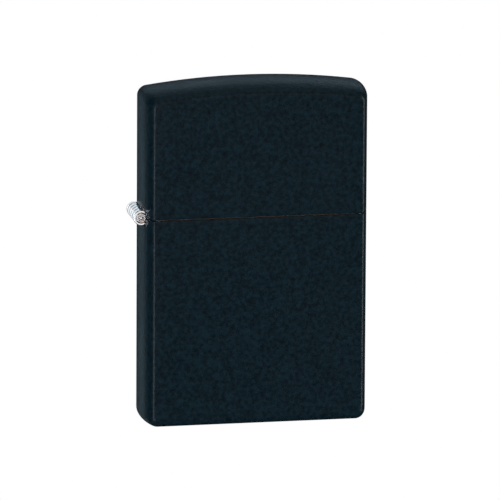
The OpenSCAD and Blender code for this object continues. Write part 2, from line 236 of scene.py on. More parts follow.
def wear_group() -> Tree:
    """Bright rubbed places along outer edges, broken up by noise.

    Returns:
        The node group.
    """
    inputs = {"Vector": VECTOR, "Scale": ("NodeSocketFloat", 900.0)}
    tree, start, end = group_tree("edge_wear", inputs, ("Mask",))
    shape = wire(tree, "ShaderNodeNewGeometry")
    edge = wire(tree, "ShaderNodeMapRange", Value=shape.outputs["Pointiness"], From_Min=0.52, From_Max=0.6)
    patch = wire(tree, "ShaderNodeTexNoise", Vector=start.outputs["Vector"], Scale=start.outputs["Scale"],
                 Detail=3.0)
    broken = wire(tree, "ShaderNodeMapRange", Value=patch.outputs["Fac"], From_Min=0.4, From_Max=0.6)
    mask = wire(tree, "ShaderNodeMath", {"operation": "MULTIPLY"}, in0=edge.outputs["Result"],
                in1=broken.outputs["Result"])
    tree.links.new(mask.outputs[0], end.inputs["Mask"])
    return tree


class Pattern(Enum):
    """The texture that a finish carries."""

    GRAIN = "surface_grain"
    BRUSHED = "brushed_lines"


GROUPS = {"surface_grain": grain_group, "brushed_lines": brushing_group,
          "handling_marks": handling_group, "edge_wear": wear_group}


def group_node(tree: Tree, name: str) -> bpy.types.Node:
    """Places a shared group in a material, and builds the group the first time.

    Args:
        tree: The material's node tree.
        name: The group's name, one of GROUPS.

    Returns:
        The group node.
    """
    node = tree.nodes.new("ShaderNodeGroup")
    node.node_tree = bpy.data.node_groups.get(name) or GROUPS[name]()
    return node


@dataclass(frozen=True)
class Finish:
    """One surface finish: its colours, its gloss and the pattern in it."""

    name: str
    colour: Point
    low_colour: Point
    roughness: tuple[float, float]
    metallic: float = 0.0
    pattern: Pattern = Pattern.GRAIN
    scale: float = 2500.0
    along: Point = (1.0, 1.0, 1.0)
    depth: float = 0.00001
    strength: float = 0.5
    wear_colour: Point | None = None
    sheen: float = 0.0
    specular: float = 0.5
    ior: float = 1.5

    def material(self) -> bpy.types.Material:
        """Builds the material, or finds it if it has been built.

        Returns:
            The material.
        """
        made = bpy.data.materials.get(self.name)
        if made:
            return made
        made = bpy.data.materials.new(self.name)
        made.use_nodes = True
        tree = made.node_tree
        shader = tree.nodes["Principled BSDF"]
        place = wire(tree, "ShaderNodeTexCoord").outputs["Object"]
        texture = group_node(tree, self.pattern.value)
        tree.links.new(place, texture.inputs["Vector"])
        texture.inputs["Scale"].default_value = self.scale
        if self.pattern is Pattern.BRUSHED:
            texture.inputs["Along"].default_value = self.along
        smudge = group_node(tree, "handling_marks")
        tree.links.new(place, smudge.inputs["Vector"])
        colour = wire(tree, "ShaderNodeMix", {"data_type": "RGBA"}, Factor=texture.outputs["Mask"])
        colour.inputs[6].default_value = (*self.low_colour, 1)
        colour.inputs[7].default_value = (*self.colour, 1)
        result = colour.outputs[2]
        if self.wear_colour:
            wear = group_node(tree, "edge_wear")
            tree.links.new(place, wear.inputs["Vector"])
            rubbed = wire(tree, "ShaderNodeMix", {"data_type": "RGBA"}, Factor=wear.outputs["Mask"])
            tree.links.new(result, rubbed.inputs[6])
            rubbed.inputs[7].default_value = (*self.wear_colour, 1)
            result = rubbed.outputs[2]
        tree.links.new(result, shader.inputs["Base Color"])
        rough = wire(tree, "ShaderNodeMapRange", Value=smudge.outputs["Mask"],
                     To_Min=self.roughness[0], To_Max=self.roughness[1])
        tree.links.new(rough.outputs["Result"], shader.inputs["Roughness"])
        bump = wire(tree, "ShaderNodeBump", Strength=self.strength, Distance=self.depth,
                    Height=texture.outputs["Height"])
        tree.links.new(bump.outputs["Normal"], shader.inputs["Normal"])
        constants = {"Metallic": self.metallic, "Specular IOR Level": self.specular, "IOR": self.ior,
                     "Sheen Weight": self.sheen}
        for label, value in constants.items():
            shader.inputs[label].default_value = value
        return made


POWDER_BLACK = Finish("powder_black", (0.0104, 0.0352, 0.0488), (0.0019, 0.0098, 0.0152), (0.32, 0.38),
                      scale=1500.0, depth=0.00007, strength=1.0, specular=0.22)
SATIN_CHROME = Finish("satin_chrome", (0.62, 0.62, 0.63), (0.47, 0.47, 0.49), (0.3, 0.42), 1.0,
                      Pattern.BRUSHED, 900.0, (1.0, 1.0, 12.0), 0.000004)
BRIGHT_CHROME = Finish("bright_chrome", (0.86, 0.86, 0.87), (0.72, 0.72, 0.74), (0.1, 0.2), 1.0,
                       Pattern.BRUSHED, 1500.0, (4.0, 1.0, 4.0), 0.000003, 0.35)
BRUSHED_STEEL = Finish("brushed_steel", (0.68, 0.68, 0.69), (0.5, 0.5, 0.52), (0.24, 0.36), 1.0,
                       Pattern.BRUSHED, 1400.0, (0.08, 1.0, 2.0), 0.000005)
STAMPED_STEEL = Finish("stamped_steel", (0.5, 0.5, 0.51), (0.33, 0.33, 0.35), (0.3, 0.45), 1.0,
                       scale=2200.0, depth=0.000008, wear_colour=(0.72, 0.72, 0.72))
RIVET_STEEL = Finish("rivet_steel", (0.74, 0.74, 0.75), (0.58, 0.58, 0.6), (0.18, 0.3), 1.0,
                     scale=3500.0, depth=0.000004)
SPRING_STEEL = Finish("spring_steel", (0.56, 0.57, 0.6), (0.4, 0.41, 0.45), (0.2, 0.32), 1.0,
                      Pattern.BRUSHED, 1800.0, (1.0, 0.2, 1.0), 0.000003)
HARDENED_STEEL = Finish("hardened_steel", (0.3, 0.3, 0.32), (0.12, 0.12, 0.13), (0.34, 0.5), 1.0,
                        scale=3000.0, depth=0.00001, wear_colour=(0.6, 0.6, 0.6))
FLINT_ALLOY = Finish("flint_alloy", (0.16, 0.15, 0.15), (0.07, 0.065, 0.065), (0.5, 0.7), 0.6,
                     scale=4200.0, depth=0.00002)
BRASS = Finish("turned_brass", (0.72, 0.5, 0.22), (0.55, 0.36, 0.14), (0.22, 0.36), 1.0,
               Pattern.BRUSHED, 1200.0, (1.0, 1.0, 9.0), 0.000004)
COTTON = Finish("cotton_braid", (0.78, 0.73, 0.62), (0.58, 0.53, 0.43), (0.85, 0.95), scale=5200.0,
                depth=0.00004, strength=0.8, sheen=0.3)
COPPER = Finish("copper_wire", (0.7, 0.36, 0.22), (0.5, 0.23, 0.13), (0.25, 0.4), 1.0, scale=4000.0,
                depth=0.000004)
WOOL_FELT = Finish("wool_felt", (0.55, 0.52, 0.47), (0.36, 0.34, 0.3), (0.9, 0.98), scale=2600.0,
                   depth=0.00012, strength=0.8, sheen=0.4)
RAYON = Finish("rayon_wadding", (0.86, 0.85, 0.83), (0.68, 0.67, 0.65), (0.88, 0.97), scale=2300.0,
               depth=0.00018, strength=0.8, sheen=0.4)


# ---- Mesh helpers ----

def linked(name: str, data: bpy.types.ID) -> Object:
    """Makes an object of a mesh, curve, light or camera and puts it in the scene.

    Args:
        name: The object's name.
        data: What the object shows.

    Returns:
        The object, at the origin.
    """
    made = bpy.data.objects.new(name, data)
    bpy.context.scene.collection.objects.link(made)
    return made


def cleaned(mesh: bpy.types.Mesh, sharp: float, weld: float) -> None:
    """Welds a mesh, turns its faces outwards and shades it smooth up to an angle.

    Args:
        mesh: The mesh.
        sharp: Edges that turn by more degrees than this are drawn sharp.
        weld: Points closer than this are merged.
    """
    work = bmesh.new()
    work.from_mesh(mesh)
    bmesh.ops.remove_doubles(work, verts=work.verts, dist=weld)
    bmesh.ops.dissolve_degenerate(work, edges=work.edges, dist=weld)
    bmesh.ops.recalc_face_normals(work, faces=work.faces)
    work.to_mesh(mesh)
    work.free()
    mesh.polygons.foreach_set("use_smooth", [True] * len(mesh.polygons))
    mesh.set_sharp_from_angle(angle=math.radians(sharp))


def bands(rows: int, around: int) -> Faces:
    """The faces between neighbouring rings of points, each ring closed on itself.

    Args:
        rows: The number of rings.
        around: The number of points in each ring.

    Returns:
        The faces, as tuples of point numbers.
    """
    return [(k * around + i, k * around + (i + 1) % around, (k + 1) * around + (i + 1) % around,
             (k + 1) * around + i) for k in range(rows - 1) for i in range(around)]


def quarter(steps: int) -> list[float]:
    """Angles from 0 to a quarter turn, in radians, in a number of equal steps."""
    return [math.pi / 2 * i / steps for i in range(steps + 1)]


def make_mesh(name: str, points: list[Point], faces: Faces, finishes: list[Finish],
              kinds: list[int] | None = None, sharp: float = 40.0, weld: float = 1e-7) -> Object:
    """Makes a smooth-shaded object from points and faces.

    Args:
        name: The piece's name.
        points: Points in metres.
        faces: Faces as tuples of point numbers.
        finishes: Finishes in the order that kinds counts them.
        kinds: The finish number of each face, or None where there is one finish.
        sharp: Edges that turn by more degrees than this are drawn sharp.
        weld: Points closer than this are merged.

    Returns:
        The object, at the origin.
    """
    mesh = bpy.data.meshes.new(name)
    mesh.from_pydata(points, [], faces)
    for finish in finishes:
        mesh.materials.append(finish.material())
    if kinds:
        mesh.polygons.foreach_set("material_index", kinds)
    cleaned(mesh, sharp, weld)
    return linked(name, mesh)


def hang(piece: Object, body: str, slot: str, *nodes: str) -> Object:
    """Rides a finished piece on its body and hides the nodes that it stands for.

    Args:
        piece: The finished piece.
        body: The CAD body that it moves with.
        slot: The record's material slot; not used.
        *nodes: CAD nodes that it replaces.

    Returns:
        The piece.
    """
    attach(piece, body)
    if nodes:
        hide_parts(*nodes)
    LOG.info("%s: %d faces on %s", piece.name, len(piece.data.polygons), body)
    return piece


def joined(name: str, parts: list[Object]) -> Object:
    """Joins several meshes into one piece.

    Args:
        name: The new piece's name.
        parts: The objects to join, which are removed.

    Returns:
        The joined object.
    """
    work = bmesh.new()
    materials: list[bpy.types.Material] = []
    for part in parts:
        first = len(work.faces)
        work.from_mesh(part.data)
        work.faces.ensure_lookup_table()
        places = []
        for material in part.data.materials:
            if material not in materials:
                materials.append(material)
            places.append(materials.index(material))
        for face in work.faces[first:]:
            face.material_index = places[face.material_index]
    mesh = bpy.data.meshes.new(name)
    work.to_mesh(mesh)
    work.free()
    for material in materials:
        mesh.materials.append(material)
    for part in parts:
        bpy.data.objects.remove(part)
    return linked(name, mesh)


def evaluated(source: Object) -> bpy.types.Mesh:
    """A plain copy of what an object's modifiers or curve settings make of it.

    Args:
        source: The object, which is left as it is.

    Returns:
        The new mesh.
    """
    bpy.context.view_layer.update()
    graph = bpy.context.evaluated_depsgraph_get()
    return bpy.data.meshes.new_from_object(source.evaluated_get(graph), depsgraph=graph)


def baked(source: Object, name: str) -> Object:
    """Turns an object with live modifiers, or a curve, into a plain mesh object.

    Args:
        source: The object to convert, which is removed.
        name: The new object's name.

    Returns:
        The plain mesh object.
    """
    mesh = evaluated(source)
    bpy.data.objects.remove(source)
    mesh.name = name
    return linked(name, mesh)


def tidy_mesh(piece: Object, sharp: float = 35.0, weld: float = 1e-6) -> Object:
    """Welds a converted piece, turns its faces outwards and shades it smooth up to an angle.

    Args:
        piece: The plain mesh object.
        sharp: Edges that turn by more degrees than this are drawn sharp.
        weld: Points closer than this are merged.

    Returns:
        The same object.
    """
    cleaned(piece.data, sharp, weld)
    return piece


class Axis(Enum):
    """The direction of a turned or stamped piece."""

    X = "x"
    Y = "y"
    Z = "z"


def placed(along: float, across: float, up: float, axis: Axis, centre: Point) -> Point:
    """A point given by its distance along an axis and two distances from it.

    Args:
        along: Distance along the axis.
        across: Distance towards +X, or towards +Y for an axis along X.
        up: Distance towards +Z, or towards +Y for an axis along Z.
        axis: The axis.
        centre: A point on the axis.

    Returns:
        The point in the model's frame.
    """
    if axis is Axis.X:
        return (centre[0] + along, centre[1] + across, centre[2] + up)
    if axis is Axis.Y:
        return (centre[0] + across, centre[1] + along, centre[2] + up)
    return (centre[0] + across, centre[1] + up, centre[2] + along)


def turned(name: str, profile: Outline, axis: Axis, centre: Point, finish: Finish,
           steps: int = 64, sharp: float = 35.0) -> Object:
    """Turns a profile round an axis, as on a lathe.

    Args:
        name: The piece's name.
        profile: Points (radius, place along the axis). A loop is closed by repeating its start.
        axis: The axis of the turning.
        centre: The point that places along the axis are counted from.
        finish: The finish.
        steps: How many faces go round.
        sharp: Edges that turn by more degrees than this are drawn sharp.

    Returns:
        The object.
    """
    angles = [TURN * i / steps for i in range(steps)]
    points = [placed(along, radius * math.cos(angle), radius * math.sin(angle), axis, centre)
              for radius, along in profile for angle in angles]
    return make_mesh(name, points, bands(len(profile), steps), [finish], sharp=sharp)


def arc(cx: float, cy: float, radius: float, start: float, stop: float, steps: int) -> Outline:
    """Points along an arc.

    Args:
        cx: The centre, across.
        cy: The centre, up.
        radius: The radius.
        start: The first angle, in degrees.
        stop: The last angle, in degrees.
        steps: The number of stretches between points.

    Returns:
        The points, the two ends among them.
    """
    angles = [math.radians(start + (stop - start) * i / steps) for i in range(steps + 1)]
    return [(cx + radius * math.cos(a), cy + radius * math.sin(a)) for a in angles]


def stamped(name: str, outline: Outline, holes: list[Outline],
            axis: Axis, level: float, thickness: float, edge: float, finish: Finish) -> Object:
    """A flat stamped plate with rounded edges and holes.

    Args:
        name: The piece's name.
        outline: The outline as (Y, Z) for axis X, (X, Z) for axis Y or (X, Y) for axis Z.
        holes: The outlines of the holes.
        axis: The direction through the plate.
        level: The place of the plate's middle along the axis.
        thickness: The plate's thickness.
        edge: The radius of its rounded edges.
        finish: The finish.

    Returns:
        The object.
    """
    curve = bpy.data.curves.new(name, "CURVE")
    curve.dimensions = "2D"
    curve.fill_mode = "BOTH"
    curve.extrude = thickness / 2 - edge
    curve.bevel_depth = edge
    curve.bevel_resolution = 2
    curve.offset = -edge
    for k, loop in enumerate([outline, *holes]):
        area = sum(a[0] * b[1] - b[0] * a[1] for a, b in zip(loop, loop[1:] + loop[:1]))
        wanted = loop if (area > 0) == (k == 0) else loop[::-1]
        spline = curve.splines.new("POLY")
        spline.points.add(len(wanted) - 1)
        spline.use_cyclic_u = True
        for point, (x, y) in zip(spline.points, wanted):
            point.co = (x, y, 0, 1)
    piece = baked(linked(name + "_outline", curve), name)
    upright = Matrix.Rotation(math.pi / 2, 4, "X")
    turns = {Axis.X: Matrix.Rotation(math.pi / 2, 4, "Z") @ upright, Axis.Y: upright,
             Axis.Z: Matrix.Identity(4)}
    piece.data.transform(Matrix.Translation(placed(level, 0, 0, axis, (0, 0, 0))) @ turns[axis])
    piece.data.materials.clear()
    piece.data.materials.append(finish.material())
    return flat_faces(tidy_mesh(piece), Vector(placed(1.0, 0.0, 0.0, axis, (0.0, 0.0, 0.0))))


def mirrored(end: Outline) -> Outline:
    """A whole profile from the half towards +, which is mirrored for the other end."""
    return [(x, -y) for x, y in end[::-1]] + end


def circle(cx: float, cy: float, radius: float, steps: int = 40) -> Outline:
    """A full circle of points, without the repeated end.

    Args:
        cx: The centre, across.
        cy: The centre, up.
        radius: The radius.
        steps: The number of points.

    Returns:
        The points.
    """
    return arc(cx, cy, radius, 0, 360, steps)[:-1]


def flat_faces(piece: Object, way: Vector | None, area: float = 0.0) -> Object:
    """Shades the flat parts of a piece flat, so that their rounded edges don't darken them.

    Args:
        piece: The plain mesh object.
        way: The direction that the flat faces look along, or None for any.
        area: The smallest face that counts as flat.

    Returns:
        The same object.
    """
    for face in piece.data.polygons:
        if face.area > area and (way is None or abs(face.normal.dot(way)) > SQUARE_ON):
            face.use_smooth = False
    return piece


def cut(piece: Object, cutter: Object) -> None:
    """Cuts one closed mesh out of another.

    Args:
        piece: The mesh that is cut.
        cutter: The mesh that cuts, which is removed.
    """
    knife = piece.modifiers.new("cut", "BOOLEAN")
    knife.operation = "DIFFERENCE"
    knife.solver = "EXACT"
    knife.object = cutter
    mesh = evaluated(piece)
    piece.modifiers.clear()
    piece.data = mesh
    bpy.data.objects.remove(cutter)


def curved(points: list[tuple[float, ...]], steps: int) -> list[tuple[float, ...]]:
    """A smooth line through points (Catmull-Rom).

    Args:
        points: The points, in two or three coordinates.
        steps: The number of stretches between two points.

    Returns:
        The points of the smooth line.
    """
    found = []
    last = len(points) - 1
    for k in range(last):
        corners = (points[max(k - 1, 0)], points[k], points[k + 1], points[min(k + 2, last)])
        for i in range(steps):
            t = i / steps
            found.append(tuple(0.5 * (2 * b + (c - a) * t + (2 * a - 5 * b + 4 * c - d) * t * t
                                      + (3 * b - a - 3 * c + d) * t ** 3)
                               for a, b, c, d in zip(*corners)))
    return found + [tuple(points[-1])]


def heading(line: list[Point], number: int) -> Vector:
    """The direction that a line runs in at one of its points.

    Args:
        line: The line's points.
        number: The point's number.

    Returns:
        A vector of length 1.
    """
    before, after = line[max(number - 1, 0)], line[min(number + 1, len(line) - 1)]
    return (Vector(after) - Vector(before)).normalized()


def on_circle(point: Point, across: Vector, up: Vector, radius: float, angle: float) -> Point:
    """A point on a circle round another point.

    Args:
        point: The circle's centre.
        across: The direction at angle 0.
        up: The direction a quarter turn on.
        radius: The circle's radius.
        angle: The angle, in radians.

    Returns:
        The point.
    """
    return tuple(Vector(point) + across * radius * math.cos(angle) + up * radius * math.sin(angle))


# ---- Geometry Nodes ----

def growth_tree(name: str, inputs: dict[str, tuple[str, object]]) -> Tree:
    """Starts a Geometry Nodes tree with named inputs and one geometry output.

    Args:
        name: The tree's name.
        inputs: Each input's name, with its socket type and its value.

    Returns:
        The tree, with its group input and output nodes.
    """
    tree = bpy.data.node_groups.new(name, "GeometryNodeTree")
    tree.interface.new_socket("Geometry", in_out="OUTPUT", socket_type="NodeSocketGeometry")
    for label, (kind, value) in inputs.items():
        socket = tree.interface.new_socket(label, in_out="INPUT", socket_type=kind)
        if not isinstance(value, bpy.types.ID):
            socket.default_value = value
    tree.nodes.new("NodeGroupInput")
    tree.nodes.new("NodeGroupOutput")
    return tree


def grown(name: str, tree: Tree, geometry: Socket,
          inputs: dict[str, tuple[str, object]]) -> Object:
    """Ends a tree in Realize Instances and Set Material, runs it and keeps the plain mesh.

    Args:
        name: The object's name.
        tree: The tree from growth_tree.
        geometry: The socket whose geometry is kept.
        inputs: The values for the tree's inputs, as given to growth_tree.

    Returns:
        The plain mesh object.
    """
    start, end = tree.nodes["Group Input"], tree.nodes["Group Output"]
    real = wire(tree, "GeometryNodeRealizeInstances", Geometry=geometry)
    dressed = wire(tree, "GeometryNodeSetMaterial", Geometry=real.outputs[0],
                   Material=start.outputs["Material"])
    tree.links.new(dressed.outputs[0], end.inputs["Geometry"])
    holder = linked(name + "_source", bpy.data.meshes.new(name + "_source"))
    growth = holder.modifiers.new("growth", "NODES")
    growth.node_group = tree
    for item in tree.interface.items_tree:
        if item.in_out == "INPUT":
            growth[item.identifier] = inputs[item.name][1]
    return baked(holder, name)


def coil(name: str, centre: Point, radius: float, height: float, turns: float, wire_r: float,
         sides: int, finish: Finish) -> Object:
    """A wire wound round an axis along Z, as a spring or as the crest of a thread.

    Args:
        name: The object's name.
        centre: The bottom middle of the coil.
        radius: The radius of the wire's centre line.
        height: The height from the wire's first centre to its last.
        turns: The number of turns.
        wire_r: The wire's radius.
        sides: The number of faces round the wire.
        finish: The finish.

    Returns:
        The plain mesh object.
    """
    inputs = {"Turns": ("NodeSocketFloat", turns), "Radius": ("NodeSocketFloat", radius),
              "Height": ("NodeSocketFloat", height), "Wire radius": ("NodeSocketFloat", wire_r),
              "Sides": ("NodeSocketInt", sides), "Centre": ("NodeSocketVector", centre),
              "Material": ("NodeSocketMaterial", finish.material())}
    tree = growth_tree(name + "_winding", inputs)
    start = tree.nodes["Group Input"].outputs
    line = wire(tree, "GeometryNodeCurveSpiral", Resolution=40, Rotations=start["Turns"],
                Start_Radius=start["Radius"], End_Radius=start["Radius"], Height=start["Height"])
    section = wire(tree, "GeometryNodeCurvePrimitiveCircle", {"mode": "RADIUS"}, Resolution=start["Sides"],
                   Radius=start["Wire radius"])
    tube = wire(tree, "GeometryNodeCurveToMesh", Curve=line.outputs[0], Profile_Curve=section.outputs[0],
                Fill_Caps=True)
    there = wire(tree, "GeometryNodeTransform", Geometry=tube.outputs[0], Translation=start["Centre"])
    return tidy_mesh(grown(name, tree, there.outputs[0], inputs), 50)


# ---- Shells ----

@dataclass(frozen=True)
class Rounding:
    """How a surface draws in towards the front and back of a shell."""

    depth: float
    flat: float = 0.0
    power: float = 2.0

    def drop(self, share: float) -> float:
        """How far the surface has drawn in at a share of the half depth, 0 to 1."""
        s = max(0.0, share - self.flat) / (1 - self.flat)
        return self.depth * (1 - max(0.0, 1 - s ** self.power) ** (1 / self.power))

    def reach(self, height: float) -> float:
        """The share of the half depth at which the surface has drawn in by a height.

        Args:
            height: The distance drawn in, in metres.

        Returns:
            The share, 0 to 1.
        """
        if height >= self.depth:
            return 1.0
        s = max(0.0, 1 - (1 - height / self.depth) ** self.power) ** (1 / self.power)
        return self.flat + (1 - self.flat) * s


@dataclass(frozen=True)
class Skin:
    """One surface of a drawn shell, closed at one end and open at the other."""

    half_w: float
    half_d: float
    side: Rounding
    end: Rounding
    corner: float
    corner_front: float
    centre_x: float = 0.0

    def width_at(self, share: float, height: float) -> float:
        """Half the width at a share of the half depth.

        Args:
            share: The share of the half depth, 0 to 1.
            height: The distance from the closed end.

        Returns:
            Half the width there, in metres.
        """
        drawn = self.side.drop(share)
        radius = self.corner + (self.corner_front - self.corner) * drawn / max(self.side.depth, 1e-9)
        left = min(max(radius - (height - self.end.drop(share)), 0.0), radius)
        return self.half_w - drawn - (radius - math.sqrt(radius ** 2 - left ** 2))

    def ring(self, height: float, shares: list[float], spans: int) -> Outline:
        """The outline at a height, counter-clockwise from the middle of the right side.

        Args:
            height: The distance from the closed end.
            shares: Rising shares from 0 to 1, at which each rounded side has points.
            spans: The number of stretches along the flat front and back.

        Returns:
            The points (X, Y).
        """
        reach = self.end.reach(height)
        side = [(self.width_at(s * reach, height), self.half_d * s * reach) for s in shares]
        x, y = side[-1]
        flat = [(x - 2 * x * i / spans, y) for i in range(1, spans)]
        back = side + flat + [(-px, py) for px, py in side[::-1]]
        loop = back + [(-px, -py) for px, py in back[1:-1]]
        return [(self.centre_x + px, py) for px, py in loop]

    def heights(self, steps: int) -> list[float]:
        """Distances from the closed end that follow its rounding.

        Args:
            steps: The number of steps through each rounding.

        Returns:
            Rising distances from 0 to the end of the corner.
        """
        flat = self.end.flat
        found = [self.end.drop(flat + (1 - flat) * math.sin(a)) for a in quarter(steps)]
        tall = self.corner + self.end.depth
        found += [tall * (1 - math.cos(a)) for a in quarter(steps)]
        kept: list[float] = []
        for h in sorted(found):
            if not kept or h - kept[-1] > CLOSEST_ROWS:
                kept.append(h)
        return kept


def inset(loop: Outline, distance: float) -> Outline:
    """Moves a counter-clockwise outline inwards.

    Args:
        loop: The outline's points.
        distance: How far it moves in.

    Returns:
        The moved points, one for each.
    """
    moved = []
    for k, (x, y) in enumerate(loop):
        before, after = loop[k - 1], loop[(k + 1) % len(loop)]
        dx, dy = after[0] - before[0], after[1] - before[1]
        length = math.hypot(dx, dy) or 1.0
        moved.append((x - dy / length * distance, y + dx / length * distance))
    return moved


@dataclass
class DrawnShell:
    """A thin deep-drawn shell: an outer and an inner skin that meet at a rounded rim."""

    name: str
    outer: Skin
    inner: Skin
    wall: float
    height: float
    rim: float
    finishes: list[Finish]
    place: Callable[[Point], Point]
    notch: tuple[float, float] | None = None
    spans: int = 16
    steps: int = 14
    notch_gap: float = 0.3 * MM

    def shares(self) -> list[float]:
        """Shares of the half depth for the points on each side, one of them at the notch edge.

        Returns:
            The rising shares, 0 to 1.
        """
        flat = self.outer.side.flat
        found = [flat + (1 - flat) * math.sin(a) for a in quarter(self.steps)]
        found += [0.0, flat / 2] if flat else []
        if self.notch:
            cut = self.notch[0] / self.outer.half_d
            found = [s for s in found if abs(s - cut) > 0.03] + [cut]
        return sorted(found)

    def rows(self) -> tuple[list[Ring], int, int, int, int]:
        """Every ring from the outer closed end, over the rim, to the inner closed end.

        Returns:
            The rings in metres, and the numbers of the first row of the notch outside, the rim's
            first row, the inner wall's first row and the last row of the notch inside.
        """
        shares, spans = self.shares(), self.spans
        deep = self.notch[1] if self.notch else 0.0
        low = self.height - deep
        outside = [h for h in self.outer.heights(self.steps) if h < low - self.notch_gap]
        top = outside[-1]
        outside += [top + (low - top) * i / 4 for i in range(1, 4)]
        outside += [low, (low + self.height - self.rim) / 2] if deep else []
        rings = [[(x, y, h) for x, y in self.outer.ring(h, shares, spans)] for h in outside]
        first = next((k for k, h in enumerate(outside) if deep and abs(h - low) < 1e-9), 0)
        edge = self.outer.ring(self.height, shares, spans)
        rim_row = len(rings)
        for a in quarter(4):
            loop = inset(edge, self.rim * (1 - math.cos(a)))
            rings.append([(x, y, self.height - self.rim * (1 - math.sin(a))) for x, y in loop])
        lift = self.wall
        inner_edge = self.inner.ring(self.height - lift, shares, spans)
        lip = self.rim * 0.6
        for a in quarter(3):
            loop = inset(inner_edge, -lip * (1 - math.sin(a)))
            rings.append([(x, y, self.height - lip * (1 - math.cos(a))) for x, y in loop])
        inner_row = len(rings) - 1
        inside = [h + lift for h in self.inner.heights(self.steps) if h + lift < low - self.notch_gap]
        top = inside[-1]
        inside += [top + (low - top) * i / 3 for i in range(1, 3)]
        inside += [low, (low + self.height - self.rim) / 2] if deep else []
        inside = inside[::-1]
        last = next((len(rings) + k for k, h in enumerate(inside) if deep and abs(h - low) < 1e-9), 0)
        rings += [[(x, y, h) for x, y in self.inner.ring(h - lift, shares, spans)] for h in inside]
        return rings, first, rim_row, inner_row, last

    def build(self) -> Object:
        """Builds the shell's mesh.

        Returns:
            The object.
        """
        rings, first, rim_row, inner_row, last = self.rows()
        around = len(rings[0])
        half = around // 2
        points = [self.place(p) for ring in rings for p in ring]
        cut = self.cut_columns(rings[rim_row])
        faces: Faces = []
        kinds: list[int] = []

        def add(face: tuple[int, ...], kind: int) -> None:
            """Adds one face, as its point numbers, with its finish number."""
            faces.append(face)
            kinds.append(kind)

        for k in range(len(rings) - 1):
            kind = 0 if k < inner_row - 3 else 1
            for j in range(around):
                n = (j + 1) % around
                if first <= k < last and j in cut:
                    continue
                add((k * around + j, k * around + n, (k + 1) * around + n, (k + 1) * around + j), kind)
        if cut:
            for j in cut:
                below, above = first * around + j, last * around + j
                add((below, below + 1, above + 1, above), 1)
            for j in (cut[0], cut[-1] + 1):
                add(tuple(k * around + j for k in range(first, last + 1)), 1)
        for base, kind in ((0, 0), ((len(rings) - 1) * around, 1)):
            for j in range(half):
                a, b = base + j, base + (j + 1) % around
                c, d = base + (around - j - 1) % around, base + (around - j) % around
                add((a, b, c, d), kind)
        return make_mesh(self.name, points, faces, self.finishes, kinds, weld=2e-6)

    def cut_columns(self, ring: Ring) -> list[int]:
        """The columns that the notch takes out of the left side.

        Args:
            ring: The outline at the rim.

        Returns:
            The numbers of the columns, in order.
        """
        if not self.notch:
            return []
        reach = self.notch[0] + 1e-6
        return [j for j in range(len(ring) - 1)
                if ring[j][0] < self.outer.centre_x and ring[j + 1][0] < self.outer.centre_x
                and abs(ring[j][1]) < reach and abs(ring[j + 1][1]) < reach]


